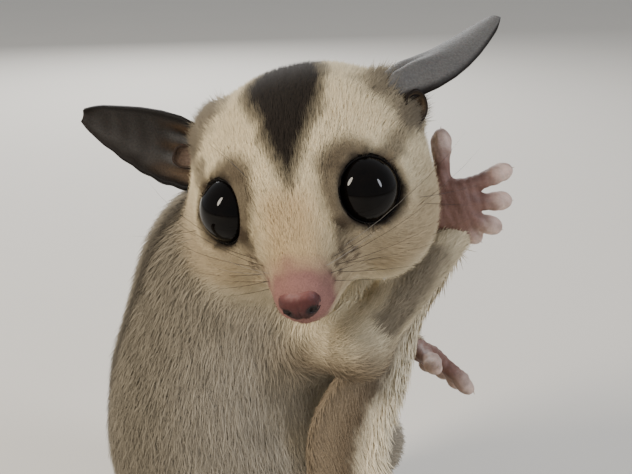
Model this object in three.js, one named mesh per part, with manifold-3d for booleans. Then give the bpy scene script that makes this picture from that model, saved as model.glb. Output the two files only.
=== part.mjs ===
// A sugar glider, life size, as a still model: it sits up on its haunches, its head turned to one side
// and tipped, one arm reaching forward with the fingers spread and the gliding skin hanging below it,
// the other arm held before the chest, and the tail laid on the floor.
// Millimetres, +Z up. The floor is z = 0, and the origin is on the flat under the rump.

import * as THREE from "three";
import { mergeVertices } from "three/addons/utils/BufferGeometryUtils.js";
import Module from "manifold-3d";

const wasm = await Module();
wasm.setup();

const DEG = Math.PI / 180;
const GAP = 0.33; // air between neighbouring parts

// Frames. In the body's frame x is forward to the belly's side, y to the animal's left and z up.
// In the head's frame x is to the animal's left, y back and z up, from midway between the eye openings.
const HEADING = 95; // degrees that the belly is turned from -Y toward +X
const bodyFrame = new THREE.Matrix4().makeRotationZ((HEADING - 90) * DEG);
const HEAD_PLACE = [2, -18, 84];
const HEAD_TURN = [14.1, -12.2, -6.1].map((turn) => turn * DEG); // nose down, left eye up, to its right
const headFrame = new THREE.Matrix4()
  .makeRotationFromEuler(new THREE.Euler(...HEAD_TURN, "ZXY"))
  .setPosition(...HEAD_PLACE);
const body = (forward, left, up) => new THREE.Vector3(forward, left, up).applyMatrix4(bodyFrame);
const head = (left, back, up) => new THREE.Vector3(left, back, up).applyMatrix4(headFrame);

// Sizes of the head
const EYE_RADIUS = 4.9;
const EYE_OPENING = [10.3, -2.2, 0.6]; // middle of the left eye's opening, in the head's frame
const EYE_AZIMUTH = 38; // degrees that an eye looks out from straight ahead
const EYE_ELEVATION = 22; // and up
const EYE_BED = 5.4; // radius of the low swelling that carries an eye and its lids
const OPENING_RADIUS = 4.5;
const LID_THICKNESS = 0.85;
const LIP_THICKNESS = 0.8;
const EAR_LENGTH = 25.5;
const EAR_THICKNESS = 0.8;
const EAR_ROOT_WALL = 1.3;
const EAR_SUNK = 0.15; // share of the ear's length that is rooted in the head
const EAR_SWEEP = 0.8; // how far the tip leans toward the trailing edge
const EAR_TIP = 1.04; // share of the length where the tip closes
const EAR_HALF_WIDTHS = [2.8, 4.3, 5.1, 5.4, 5.2, 4.6, 3.7, 2.7, 1.5]; // from the root to the tip
const EAR_DEPTHS = [4.2, 4, 3.4, 2.8, 2.2, 1.7, 1.2, 0.8, 0.3]; // of the cup behind its two edges

// Sizes of the limbs and the tail
const CLAW_LENGTH = 1.3;
const MEMBRANE_THICKNESS = 1.2;
const MEMBRANE_GAP = 0.5; // air around the gliding skin, which lies against sharp corners
const TAIL_RADIUS = 10.5;
const TAIL_HEIGHT = 4.85; // of the tail's middle line where it lies on the floor
const LOCK_LENGTH = 25;
const LOCK_WIDTH = 5.8;
const LOCK_SINK = 1.2; // how deep a lock is rooted in the core
const LOCK_SPACING = 11.5; // between one ring of locks and the next
const LOCKS_AROUND = 9; // in a ring, with those that would lie under the tail left out
const LOWEST_LOCK = -0.3; // sine of the angle under which the tail lies on the floor and has no locks
const LOCK_MARGIN = 0.045; // share of the path before a cut that roots no lock
const LOCK_CLEARANCE = 0.8; // least height over the floor of a lock's middle line
const LOCK_SECTIONS = [
  { u: 0.04, wide: 0.45, thick: 1.7 },
  { u: 0.4, wide: 1, thick: 1.2 },
  { u: 0.76, wide: 0.78, thick: 0.9 },
];

// How wide the soft creases are where one form runs into the next
const BACK_BLEND = 9;
const TRUNK_BLEND = 6;
const SKULL_BLEND = 5;
const FACE_BLEND = 2.5;
const NECK_BLEND = 4;
const NOSE_BLEND = 0.8;
const ARM_BLEND = 3;
const LEG_BLEND = 4;
const PALM_BLEND = 1.5;
const SOLE_BLEND = 2;

// Cells of the grids that the smooth shapes are meshed on
const TORSO_CELL = 4.2;
const HEAD_CELL = 2.35;
const ARM_CELL = 3.3;
const LEG_CELL = 4.2;
const PAW_CELL = 2.3;
const NOSE_CELL = 1.1;

// Limits of the tidying of small faces
const SHORTEST_EDGE = 0.3;
const SLIVER_HEIGHT = 0.05;
const LEAST_AGREEMENT = 0.7; // cosine of the most that a face may turn
const LEAST_LEAN = 0.45; // cosine past which a sharp corner isn't pushed out any further

const materials = {
  coat: { color: 0x8f8574, roughness: 0.95 },
  face: { color: 0xc4b89c, roughness: 0.95 },
  limb: { color: 0x9a8d78, roughness: 0.95 },
  tail: { color: 0x7d7363, roughness: 0.95 },
  pinkSkin: { color: 0xa9867a, roughness: 0.6 },
  earSkin: { color: 0x4a423c, roughness: 0.7 },
  noseSkin: { color: 0x8f5d58, roughness: 0.45 },
  eye: { color: 0x0b0a0a, roughness: 0.08 },
};

// Smooth shapes. A shape has a distance, negative inside it, and a box that holds it.

/** The box around a centred block of these half-lengths, carried by a placing matrix. */
function placedBox(place, halves) {
  const reach = new THREE.Vector3(...halves);
  return new THREE.Box3(reach.clone().negate(), reach).applyMatrix4(place);
}

/** An ellipsoid at a centre in a frame, with half-lengths along the frame's axes. */
function ellipsoid(frame, centre, radii) {
  const place = new THREE.Matrix4().setPosition(...centre).premultiply(frame);
  const m = place.clone().invert().elements;
  const [a, b, c] = radii;
  const distance = (x, y, z) => {
    const u = (m[0] * x + m[4] * y + m[8] * z + m[12]) / a;
    const v = (m[1] * x + m[5] * y + m[9] * z + m[13]) / b;
    const w = (m[2] * x + m[6] * y + m[10] * z + m[14]) / c;
    const reach = Math.hypot(u, v, w);
    return (reach * (reach - 1)) / Math.max(Math.hypot(u / a, v / b, w / c), 1e-6);
  };
  return { distance, box: placedBox(place, radii) };
}

/** A rounded cone from one point to another, with a radius at each. */
function bone(from, to, fromRadius, toRadius) {
  const along = to.clone().sub(from);
  const length2 = along.lengthSq();
  const slope = fromRadius - toRadius;
  const side2 = length2 - slope * slope;
  const distance = (x, y, z) => {
    const px = x - from.x;
    const py = y - from.y;
    const pz = z - from.z;
    const t = px * along.x + py * along.y + pz * along.z;
    const u = t - length2;
    const rx = px * length2 - along.x * t;
    const ry = py * length2 - along.y * t;
    const rz = pz * length2 - along.z * t;
    const across2 = rx * rx + ry * ry + rz * rz;
    const k = Math.sign(slope) * slope * slope * across2;
    if (Math.sign(u) * side2 * u * u * length2 > k) {
      return Math.sqrt(across2 + u * u * length2) / length2 - toRadius;
    }
    if (Math.sign(t) * side2 * t * t * length2 < k) {
      return Math.sqrt(across2 + t * t * length2) / length2 - fromRadius;
    }
    return (Math.sqrt((across2 * side2) / length2) + t * slope) / length2 - fromRadius;
  };
  const box = new THREE.Box3().setFromPoints([from, to]).expandByScalar(Math.max(fromRadius, toRadius));
  return { distance, box };
}

/** A chain of rounded cones through points, each written as [point, radius]. */
function bones(blendWidth, ...joints) {
  const links = joints.slice(1).map(([to, toRadius], i) => bone(joints[i][0], to, joints[i][1], toRadius));
  return blend(blendWidth, ...links);
}

/** Joins shapes with a soft crease of the given width. */
function blend(width, ...shapes) {
  const distances = shapes.map((shape) => shape.distance);
  const distance = (x, y, z) => {
    let least = distances[0](x, y, z);
    for (let i = 1; i < distances.length; i += 1) {
      const next = distances[i](x, y, z);
      const near = Math.max(width - Math.abs(least - next), 0) / width;
      least = Math.min(least, next) - (near * near * width) / 4;
    }
    return least;
  };
  const box = shapes.reduce((sum, shape) => sum.union(shape.box), new THREE.Box3());
  return { distance, box };
}

/** The steepest-ascent direction of a distance, by small differences. */
function slopeOf(distance, x, y, z) {
  const step = 0.02;
  return new THREE.Vector3(
    distance(x + step, y, z) - distance(x - step, y, z),
    distance(x, y + step, z) - distance(x, y - step, z),
    distance(x, y, z + step) - distance(x, y, z - step),
  ).divideScalar(2 * step);
}

/** Moves a point onto the surface where the distance has the given level, by at most the given reach. */
function settle(shape, point, level = 0, reach = Infinity) {
  const start = point.clone();
  for (let round = 0; round < 4; round += 1) {
    const off = shape.distance(point.x, point.y, point.z) - level;
    const slope = slopeOf(shape.distance, point.x, point.y, point.z);
    point.addScaledVector(slope, -off / Math.max(slope.lengthSq(), 0.05));
  }
  if (point.distanceTo(start) > reach) point.sub(start).setLength(reach).add(start);
  return point;
}

// A cell's corners, its edges as pairs of corners, and its faces as rounds of four corners
const CORNERS = Array.from({ length: 8 }, (_, i) => [i & 1, (i >> 1) & 1, (i >> 2) & 1]);
const EDGES = [1, 2, 4].flatMap((step) =>
  CORNERS.map((_, i) => [i, i + step]).filter(([i]) => !(i & step)),
);
const FACES = [[0, 1, 3, 2], [4, 5, 7, 6], [0, 1, 5, 4], [2, 3, 7, 6], [0, 2, 6, 4], [1, 3, 7, 5]];
const edgeBetween = (p, q) => EDGES.findIndex(([a, b]) => (a === p && b === q) || (a === q && b === p));
const FACE_EDGES = FACES.map((face) => face.map((corner, i) => edgeBetween(corner, face[(i + 1) % 4])));

/** The crossed edges of a cell, in one list for each separate piece of surface that passes through it. */
function surfacePieces(inside) {
  const crossed = EDGES.map(([p, q]) => inside[p] !== inside[q]);
  const piece = EDGES.map((_, i) => i);
  const find = (i) => (piece[i] === i ? i : find(piece[i]));
  FACES.forEach((face, f) => {
    const cuts = FACE_EDGES[f].filter((edge) => crossed[edge]);
    if (cuts.length === 2) piece[find(cuts[0])] = find(cuts[1]);
    if (cuts.length < 4) return;
    face.forEach((corner, i) => {
      if (inside[corner]) piece[find(FACE_EDGES[f][i])] = find(FACE_EDGES[f][(i + 3) % 4]);
    });
  });
  const pieces = new Map();
  EDGES.forEach((_, edge) => {
    if (crossed[edge]) pieces.set(find(edge), [...(pieces.get(find(edge)) ?? []), edge]);
  });
  return [...pieces.values()];
}

/** A solid from points and the triangles between them, which may all run the wrong way round. */
function manifoldOf(points, triangles) {
  const made = new wasm.Manifold(
    new wasm.Mesh({
      numProp: 3,
      vertProperties: new Float32Array(points.flatMap((point) => point.toArray())),
      triVerts: new Uint32Array(triangles),
    }),
  );
  return made.volume() < 0 ? manifoldOf(points, Array.from(triangles).reverse()) : made;
}

/**
 * Meshes the surface of a shape at a level on a grid of cells: one vertex for each piece of surface in
 * a cell, settled onto the true surface, and one quad for each grid edge that the surface crosses.
 */
function meshed(shape, cell, level = 0, within = shape.box) {
  const margin = level + 3.1 * cell;
  const low = within.min.clone().subScalar(margin);
  const size = within.max.clone().addScalar(margin).sub(low);
  const counts = size.toArray().map((length) => Math.ceil(length / cell) + 1);
  const [nx, ny, nz] = counts;
  const at = (i, j, k) => i + nx * (j + ny * k);
  const values = new Float64Array(nx * ny * nz);
  const eachPlace = (visit, from, upTo) => {
    for (let k = from; k < nz - upTo; k += 1) {
      for (let j = from; j < ny - upTo; j += 1) {
        for (let i = from; i < nx - upTo; i += 1) visit(i, j, k);
      }
    }
  };
  eachPlace((i, j, k) => {
    const value = shape.distance(low.x + i * cell, low.y + j * cell, low.z + k * cell) - level;
    const border = [i, j, k].some((n, axis) => n < 2 || n > counts[axis] - 3);
    values[at(i, j, k)] = border ? Math.max(value, cell / 2) : value;
  }, 0, 0);
  const points = [];
  const vertexAt = new Map();
  eachPlace((i, j, k) => {
    const here = CORNERS.map(([a, b, c]) => values[at(i + a, j + b, k + c)]);
    for (const piece of surfacePieces(here.map((value) => value < 0))) {
      const point = new THREE.Vector3();
      for (const edge of piece) {
        const [p, q] = EDGES[edge];
        const share = here[p] / (here[p] - here[q]);
        point.add(new THREE.Vector3(...CORNERS[p]).lerp(new THREE.Vector3(...CORNERS[q]), share));
        vertexAt.set(at(i, j, k) * EDGES.length + edge, points.length);
      }
      point.divideScalar(piece.length).add(new THREE.Vector3(i, j, k)).multiplyScalar(cell).add(low);
      points.push(settle(shape, point, level, cell / 2));
    }
  }, 0, 1);
  const triangles = [];
  const addQuad = (corners, flip) => {
    const [p, q, r, s] = flip ? corners.reverse() : corners;
    if (points[p].distanceToSquared(points[r]) < points[q].distanceToSquared(points[s])) {
      triangles.push(p, q, r, p, r, s);
    } else {
      triangles.push(q, r, s, q, s, p);
    }
  };
  const steps = [[1, 0, 0], [0, 1, 0], [0, 0, 1]];
  eachPlace((i, j, k) => {
    const inside = values[at(i, j, k)] < 0;
    steps.forEach((step, axis) => {
      if (inside === values[at(i + step[0], j + step[1], k + step[2])] < 0) return;
      const u = steps[(axis + 1) % 3];
      const v = steps[(axis + 2) % 3];
      const around = [[1, 1], [0, 1], [0, 0], [1, 0]].map(([a, b]) => {
        const start = [i, j, k].map((n, d) => n - a * u[d] - b * v[d]);
        const near = (d) => a * u[d] + b * v[d];
        const from = CORNERS.findIndex((corner) => corner.every((c, d) => c === near(d)));
        const to = CORNERS.findIndex((corner) => corner.every((c, d) => c === near(d) + step[d]));
        return vertexAt.get(at(...start) * EDGES.length + edgeBetween(from, to));
      });
      addQuad(around, !inside);
    });
  }, 1, 1);
  return manifoldOf(points, triangles);
}

// Solids made directly, and how solids are joined and cut

/** A solid from one of three.js's closed geometries. */
function solid(geometry) {
  const bare = geometry.clone();
  bare.deleteAttribute("normal");
  bare.deleteAttribute("uv");
  const merged = mergeVertices(bare, 1e-4);
  return manifoldOf(vectorsOf(merged.attributes.position), merged.index.array);
}

/** The rows of a buffer as vectors. */
function vectorsOf(attribute) {
  const rows = Array.from({ length: attribute.count }, (_, row) => row);
  return rows.map((row) => new THREE.Vector3().fromBufferAttribute(attribute, row));
}

/** A closed solid through rings of points, with a point to close each end. */
function loft(rings, startPoint, endPoint) {
  const count = rings[0].length;
  const points = [startPoint, ...rings.flat(), endPoint];
  const triangles = [];
  const at = (ringIndex, i) => 1 + ringIndex * count + (i % count);
  const last = points.length - 1;
  for (let i = 0; i < count; i += 1) {
    triangles.push(0, at(0, i + 1), at(0, i));
    triangles.push(last, at(rings.length - 1, i), at(rings.length - 1, i + 1));
    for (let r = 0; r < rings.length - 1; r += 1) {
      triangles.push(at(r, i), at(r, i + 1), at(r + 1, i + 1));
      triangles.push(at(r, i), at(r + 1, i + 1), at(r + 1, i));
    }
  }
  return manifoldOf(points, triangles);
}

/** A tube along a smooth path through points, with a radius at each point and round ends. */
function tube(points, radii, sides, rings = points.length) {
  const path = new THREE.CatmullRomCurve3(points, false, "centripetal");
  const radiusAt = (t) => {
    const place = t * (radii.length - 1);
    const i = Math.min(Math.floor(place), radii.length - 2);
    return THREE.MathUtils.lerp(radii[i], radii[i + 1], place - i);
  };
  let across = new THREE.Vector3(0.3, 0.2, 1);
  const sections = [];
  for (let r = 0; r < rings; r += 1) {
    const t = r / (rings - 1);
    const middle = path.getPoint(t);
    const along = path.getTangent(t);
    across = across.addScaledVector(along, -across.dot(along)).normalize().clone();
    const other = new THREE.Vector3().crossVectors(along, across);
    const section = [];
    for (let i = 0; i < sides; i += 1) {
      const angle = (2 * Math.PI * i) / sides;
      const arm = across.clone().multiplyScalar(Math.cos(angle)).addScaledVector(other, Math.sin(angle));
      section.push(middle.clone().addScaledVector(arm, radiusAt(t)));
    }
    sections.push(section);
  }
  const start = path.getPoint(0).addScaledVector(path.getTangent(0), -0.6 * radii[0]);
  const end = path.getPoint(1).addScaledVector(path.getTangent(1), 0.6 * radii[radii.length - 1]);
  return loft(sections, start, end);
}

/** The largest closed body of a solid that may have come apart. */
function largest(whole) {
  const pieces = whole.decompose();
  return pieces.reduce((best, piece) => (piece.volume() > best.volume() ? piece : best));
}

/** Joins a list of solids. */
const joined = (solids) => solids.reduce((sum, next) => sum.add(next));

const CUTTER = 400; // side of the blocks that cut, more than twice the animal's length

/** The turn that brings the +Z axis onto a direction. */
const turnFromZ = (direction) =>
  new THREE.Quaternion().setFromUnitVectors(new THREE.Vector3(0, 0, 1), direction.clone().normalize());

/** The part of a solid on the side of a plane that its normal points to. */
function beyond(whole, point, normal, offset = 0) {
  const block = new THREE.BoxGeometry(CUTTER, CUTTER, CUTTER).translate(0, 0, CUTTER / 2 + offset);
  block.applyQuaternion(turnFromZ(normal)).translate(point.x, point.y, point.z);
  return whole.intersect(solid(block));
}

/** What is left of a solid above the floor. */
function onFloor(whole) {
  const ground = new THREE.BoxGeometry(CUTTER, CUTTER, CUTTER).translate(0, 0, -CUTTER / 2);
  return whole.subtract(solid(ground));
}

/** A shape that swells into others where it meets them, and ends `skirt` beyond its own surface. */
function grown(own, parent, { cell, blendWidth, skirt = 1 }) {
  const joint = blend(blendWidth, own, parent);
  return meshed(joint, cell, 0, own.box).intersect(meshed(own, cell, skirt));
}

/** The direction that a triangle of three points faces. */
const normalOf = (corners) => new THREE.Triangle(...corners).getNormal(new THREE.Vector3());

/** A solid with all its faces moved outward by a distance, and its sharpest corners by a little less. */
function swollen(whole, distance) {
  const geometry = geometryOf(whole);
  const order = geometry.index.array;
  const points = vectorsOf(geometry.attributes.position);
  const normals = vectorsOf(geometry.attributes.normal);
  const leans = points.map(() => 1);
  for (let t = 0; t < order.length; t += 3) {
    const corners = [order[t], order[t + 1], order[t + 2]];
    const faceNormal = normalOf(corners.map((corner) => points[corner]));
    for (const corner of corners) leans[corner] = Math.min(leans[corner], faceNormal.dot(normals[corner]));
  }
  const reaches = leans.map((lean) => distance / Math.max(lean, LEAST_LEAN));
  points.forEach((point, i) => point.addScaledVector(normals[i], reaches[i]));
  return manifoldOf(points, order);
}

/** A solid as a geometry of three.js. */
function geometryOf(whole) {
  const mesh = whole.getMesh();
  const geometry = new THREE.BufferGeometry();
  geometry.setAttribute("position", new THREE.BufferAttribute(new Float32Array(mesh.vertProperties), 3));
  geometry.setIndex(new THREE.BufferAttribute(new Uint32Array(mesh.triVerts), 1));
  geometry.computeVertexNormals();
  return geometry;
}

/** The faces that use each point of a mesh. */
function facesAround(points, faces) {
  const around = points.map(() => new Set());
  faces.forEach((face, f) => face.forEach((corner) => around[corner].add(f)));
  return around;
}

/** Whether moving some corners of a face to a place turns the face over or makes it a sliver. */
function spoils(points, face, moved, place) {
  const before = face.map((corner) => points[corner]);
  const after = face.map((corner) => (moved.includes(corner) ? place : points[corner]));
  const longest = Math.max(...after.map((corner, i) => corner.distanceTo(after[(i + 1) % 3])));
  const height = (2 * new THREE.Triangle(...after).getArea()) / Math.max(longest, 1e-9);
  const heightBefore = (2 * new THREE.Triangle(...before).getArea()) / Math.max(longest, 1e-9);
  if (height < Math.min(SLIVER_HEIGHT, heightBefore)) return true;
  return heightBefore > SLIVER_HEIGHT && normalOf(before).dot(normalOf(after)) < LEAST_AGREEMENT;
}

/** A solid with its shortest edges drawn together, wherever that leaves it closed and unfolded. */
function tidied(whole, shortest) {
  const order = whole.getMesh().triVerts;
  const points = vectorsOf(geometryOf(whole).attributes.position);
  const faces = Array.from({ length: order.length / 3 }, (_, f) => [...order.slice(3 * f, 3 * f + 3)]);
  const around = facesAround(points, faces);
  const neighbours = (corner) =>
    new Set([...around[corner]].flatMap((f) => faces[f]).filter((other) => other !== corner));
  const edges = faces.flatMap(([a, b, c]) => [[a, b], [b, c], [c, a]]).filter(([a, b]) => a < b);
  const lengthOf = ([a, b]) => points[a].distanceTo(points[b]);
  const short = edges.filter((edge) => lengthOf(edge) < shortest).sort((e, f) => lengthOf(e) - lengthOf(f));
  for (const [a, b] of short) {
    if (!around[a].size || !around[b].size || lengthOf([a, b]) >= shortest) continue;
    const shared = [...around[a]].filter((f) => around[b].has(f));
    const bothSee = [...neighbours(a)].filter((corner) => neighbours(b).has(corner));
    if (shared.length !== 2 || bothSee.length !== 2) continue;
    const place = points[a].clone().lerp(points[b], 0.5);
    const kept = [...around[a], ...around[b]].filter((f) => !shared.includes(f));
    if (kept.some((f) => spoils(points, faces[f], [a, b], place))) continue;
    for (const f of shared) {
      faces[f].forEach((corner) => around[corner].delete(f));
      faces[f] = null;
    }
    for (const f of around[b]) {
      faces[f] = faces[f].map((corner) => (corner === b ? a : corner));
      around[a].add(f);
    }
    around[b].clear();
    points[a] = place;
  }
  const corners = faces.filter((face) => face).flat();
  const used = [...new Set(corners)];
  const newIndex = new Map(used.map((corner, i) => [corner, i]));
  return manifoldOf(used.map((corner) => points[corner]), corners.map((corner) => newIndex.get(corner)));
}

const part = new THREE.Group();
const placed = new Map();

/** Adds a solid to the part as a named node, cut clear of the named nodes that it lies against. */
function addNode(name, whole, material, neighbours = [], gap = GAP) {
  const beds = neighbours.map((neighbour) => swollen(placed.get(neighbour), gap));
  const own = tidied(largest(beds.reduce((rest, bed) => rest.subtract(bed), whole)), SHORTEST_EDGE);
  placed.set(name, own);
  const node = new THREE.Mesh(geometryOf(own), new THREE.MeshStandardMaterial({ metalness: 0, ...material }));
  node.name = name;
  part.add(node);
}

// Trunk: the rump on the floor, the back in one arch, the shoulders behind the head, and the neck
const backAndBelly = blend(
  BACK_BLEND,
  ellipsoid(bodyFrame, [-3, 0, 16.6], [18, 18, 18]),
  ellipsoid(bodyFrame, [-13, 0, 36], [18.3, 18, 18]),
  ellipsoid(bodyFrame, [-12, 0, 51], [17, 16.5, 16]),
  ellipsoid(bodyFrame, [-8.5, 1, 66], [15.6, 14, 14]),
  ellipsoid(bodyFrame, [4, -2, 60], [12, 12, 14]),
  ellipsoid(bodyFrame, [2, 0, 31], [14, 15, 17]),
);
const trunk = blend(
  TRUNK_BLEND,
  backAndBelly,
  bone(body(-6, 0, 70), head(0, 15, -3), 12.5, 10.5),
  bone(body(3, -6, 66), head(1, 7, -9), 9, 6.5),
);

// Head
const sides = { left: 1, right: -1 };
const bothSides = Object.values(sides);
const mirrored = ([x, y, z], side) => [side * x, y, z];
const eyeAxis = (side) =>
  new THREE.Vector3(
    side * Math.sin(EYE_AZIMUTH * DEG) * Math.cos(EYE_ELEVATION * DEG),
    -Math.cos(EYE_AZIMUTH * DEG) * Math.cos(EYE_ELEVATION * DEG),
    Math.sin(EYE_ELEVATION * DEG),
  );
const openingDepth = Math.sqrt(EYE_RADIUS ** 2 - OPENING_RADIUS ** 2);
const eyeCentre = (side) =>
  new THREE.Vector3(...mirrored(EYE_OPENING, side)).addScaledVector(eyeAxis(side), -openingDepth);

const skull = blend(
  SKULL_BLEND,
  ellipsoid(headFrame, [0, 13, 1], [17, 15.5, 11.6]),
  ellipsoid(headFrame, [0, 1.5, -0.5], [12, 10.5, 9]),
  ...bothSides.map((side) => ellipsoid(headFrame, mirrored([9.9, 7.5, -4], side), [8.3, 10, 8])),
  ...bothSides.map((side) => ellipsoid(headFrame, mirrored([9.3, 4, -8.6], side), [8.4, 9.4, 7.8])),
  bone(head(0, -2, -4.6), head(0, -11.2, -7.6), 7.6, 4.1),
  bone(head(0, 4, -9), head(0, -8.4, -11), 6.5, 2.7),
);
const eyeBed = (side) => {
  const middle = eyeCentre(side).addScaledVector(eyeAxis(side), -1.2);
  return ellipsoid(headFrame, middle.toArray(), [EYE_BED, EYE_BED, EYE_BED]);
};
const face = blend(FACE_BLEND, skull, ...bothSides.map(eyeBed));

const nosePad = blend(
  NOSE_BLEND,
  ...bothSides.map((side) => ellipsoid(headFrame, [side * 1.25, -13.9, -7.5], [1.7, 1.7, 1.9])),
  ellipsoid(headFrame, [0, -13.6, -8.6], [1.5, 1.5, 1.6]),
);

/** The line where the lips meet, from one corner of the mouth to the other, shifted up or down. */
function lipLine(shift) {
  const corner = [6.4, -3.8, -9.7];
  const front = [0, -13.3, -10.6];
  const count = 13;
  return Array.from({ length: count }, (_, i) => {
    const t = (2 * i) / (count - 1) - 1;
    const back = THREE.MathUtils.lerp(front[1], corner[1], t * t);
    const up = THREE.MathUtils.lerp(front[2], corner[2], t * t) + shift * (1.1 - t * t);
    return settle(face, head(corner[0] * t, back, up));
  });
}

/** A closed geometry about the +Z axis as a solid, set into an eye's opening so that it faces out. */
function atEye(geometry, side) {
  const placedThere = geometry.clone().applyQuaternion(turnFromZ(eyeAxis(side)));
  return solid(placedThere.translate(...mirrored(EYE_OPENING, side)).applyMatrix4(headFrame));
}

/** The rims of the eyelids and the two lips, as solids that stand on the face. */
function lidsAndLips() {
  const rim = new THREE.TorusGeometry(OPENING_RADIUS + 0.5, LID_THICKNESS, 5, 18);
  const lids = bothSides.map((side) => atEye(rim, side));
  const radii = [0.3, 0.7, 0.9, 0.7, 0.3].map((share) => share * LIP_THICKNESS);
  const lips = [1, -1].map((up) => tube(lipLine(up * LIP_THICKNESS), radii, 5, 11));
  return joined([...lids, ...lips]);
}

/** Flares that clear the flesh from in front of the eyes. */
function eyeFlares() {
  const height = 8;
  const flare = new THREE.CylinderGeometry(OPENING_RADIUS + 3, OPENING_RADIUS + 0.3, height, 18);
  flare.rotateX(Math.PI / 2).translate(0, 0, height / 2);
  return bothSides.map((side) => atEye(flare, side));
}

/** A ball about the middle of an eye. */
const eyeBall = (side, radius) =>
  solid(new THREE.SphereGeometry(radius, 15, 10).translate(...eyeCentre(side)).applyMatrix4(headFrame));

/** The sockets, the line of the mouth and the bed of the nose pad, to be cut out of the head. */
function headHollows() {
  const sockets = bothSides.map((side) => eyeBall(side, EYE_RADIUS + GAP));
  const mouthLine = tube(lipLine(0), [0.2, 0.32, 0.35, 0.32, 0.2], 4, 11);
  return joined([...sockets, mouthLine, swollen(meshed(nosePad, NOSE_CELL), GAP)]);
}

/** The head's flesh with its sockets, lids, lips and the line of the mouth. */
function headSolid() {
  const flesh = grown(face, trunk, { cell: HEAD_CELL, blendWidth: NECK_BLEND });
  return flesh.subtract(joined(eyeFlares())).add(lidsAndLips()).subtract(headHollows());
}

const NOSTRIL_LINE = [[1.1, -16.4, -7.6], [1.3, -15, -7.7], [2.6, -14.6, -8.1], [4, -14.8, -8.2]];

/** The nose pad with its two comma-shaped nostrils. */
function nose() {
  const pad = meshed(nosePad, NOSE_CELL);
  const nostrils = bothSides.map((side) =>
    tube(
      NOSTRIL_LINE.map((point) => head(...mirrored(point, side))),
      [0.5, 0.55, 0.4, 0.4],
      6,
    ),
  );
  return pad.subtract(joined(nostrils));
}

// Ears: thin cupped leaves. Each stands in a frame of its own: along to the tip, across to the
// trailing edge, and out of the cup's mouth.
const earPlaces = {
  right: { root: [-15.4, 12.6, 0.5], along: [-0.865, 0.36, 0.34], mouth: [-0.14, -0.92, 0.35], bend: -1.5 },
  left: { root: [14.7, 15.2, 5], along: [0.62, 0.78, -0.075], mouth: [0.1, -0.05, -0.97], bend: -2.8 },
};

/** One ear: a leaf with a curled section, wide and deep near its root and narrow at its tip. */
function ear(side, { root, along, mouth, bend }) {
  const alongAxis = new THREE.Vector3(...along).normalize();
  const mouthAxis = new THREE.Vector3(...mouth);
  mouthAxis.addScaledVector(alongAxis, -mouthAxis.dot(alongAxis)).normalize();
  const acrossAxis = new THREE.Vector3().crossVectors(mouthAxis, alongAxis).multiplyScalar(-side);
  const steps = EAR_HALF_WIDTHS.length - 1;
  const columns = 6;
  const pointAt = (share, v, halfWidth, depth) =>
    new THREE.Vector3(...root)
      .addScaledVector(alongAxis, (share * (1 + EAR_SUNK) - EAR_SUNK) * EAR_LENGTH)
      .addScaledVector(acrossAxis, halfWidth * v + EAR_SWEEP * share)
      .addScaledVector(mouthAxis, -depth * (1 - v * v) + bend * share * share);
  const rings = EAR_HALF_WIDTHS.map((halfWidth, r) => {
    const share = r / steps;
    const depth = EAR_DEPTHS[r];
    const halfWall = THREE.MathUtils.lerp(EAR_ROOT_WALL, EAR_THICKNESS, Math.min(1, share * 2)) / 2;
    const back = [];
    const cup = [];
    for (let i = 0; i <= columns; i += 1) {
      const v = (2 * i) / columns - 1;
      const middle = pointAt(share, v, halfWidth, depth);
      const slope = new THREE.Vector3()
        .addScaledVector(acrossAxis, -2 * depth * v)
        .addScaledVector(mouthAxis, halfWidth)
        .normalize();
      back.push(middle.clone().addScaledVector(slope, -halfWall));
      cup.push(middle.clone().addScaledVector(slope, halfWall));
    }
    return [...back, ...cup.reverse()].map((point) => point.applyMatrix4(headFrame));
  });
  const start = pointAt(0, 0, EAR_HALF_WIDTHS[0], EAR_DEPTHS[0]).applyMatrix4(headFrame);
  const end = pointAt(EAR_TIP, 0, 0, 0).applyMatrix4(headFrame);
  return loft(rings, start, end);
}

// Arms and hands
const arms = {
  right: { shoulder: [-4, -5, 58], elbow: [9, -19, 60.5], wrist: [26.3, -4.4, 72.6] },
  left: { shoulder: [-3, 8, 58], elbow: [5, 17.5, 43], wrist: [22, 11, 46] },
};
const armShape = ({ shoulder, elbow, wrist }) =>
  bones(ARM_BLEND, [body(...shoulder), 6.4], [body(...elbow), 4.4], [body(...wrist), 3.1]);
const arm = (name) => grown(armShape(arms[name]), trunk, { cell: ARM_CELL, blendWidth: ARM_BLEND });

/** A frame at a wrist or heel: x toward the fingers, y toward the thumb, z out of the back of the hand. */
function pawFrame(place, alongVector, backVector) {
  const along = alongVector.clone().normalize();
  const back = backVector.clone().addScaledVector(along, -backVector.dot(along)).normalize();
  const across = new THREE.Vector3().crossVectors(back, along);
  return new THREE.Matrix4().makeBasis(along, across, back).setPosition(place);
}

/** One digit with its pad and, where it has one, its claw, in a paw's frame. */
function digit(frame, { base, turn, length, radius, curl, claw }, thumbSide) {
  const heading = turn * DEG;
  const at = (share) =>
    new THREE.Vector3(
      base[0] + share * length * Math.cos(heading),
      thumbSide * (base[1] + share * length * Math.sin(heading)),
      base[2] - curl * share * share,
    );
  const points = [-0.1, 0.35, 0.75, 0.95].map((share) => at(share).applyMatrix4(frame));
  const flesh = tube(points, [1.05, 0.85, 1, 0.8].map((share) => share * radius), 6);
  if (!claw) return flesh;
  const root = at(0.9);
  const tip = at(1 + CLAW_LENGTH / length);
  const arch = at(1.08);
  root.z += 0.35 * radius;
  arch.z += 0.55 * radius;
  tip.z -= 0.5;
  const hook = [root, arch, tip].map((point) => point.applyMatrix4(frame));
  return flesh.add(tube(hook, [0.5, 0.42, 0.12], 3));
}

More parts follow.
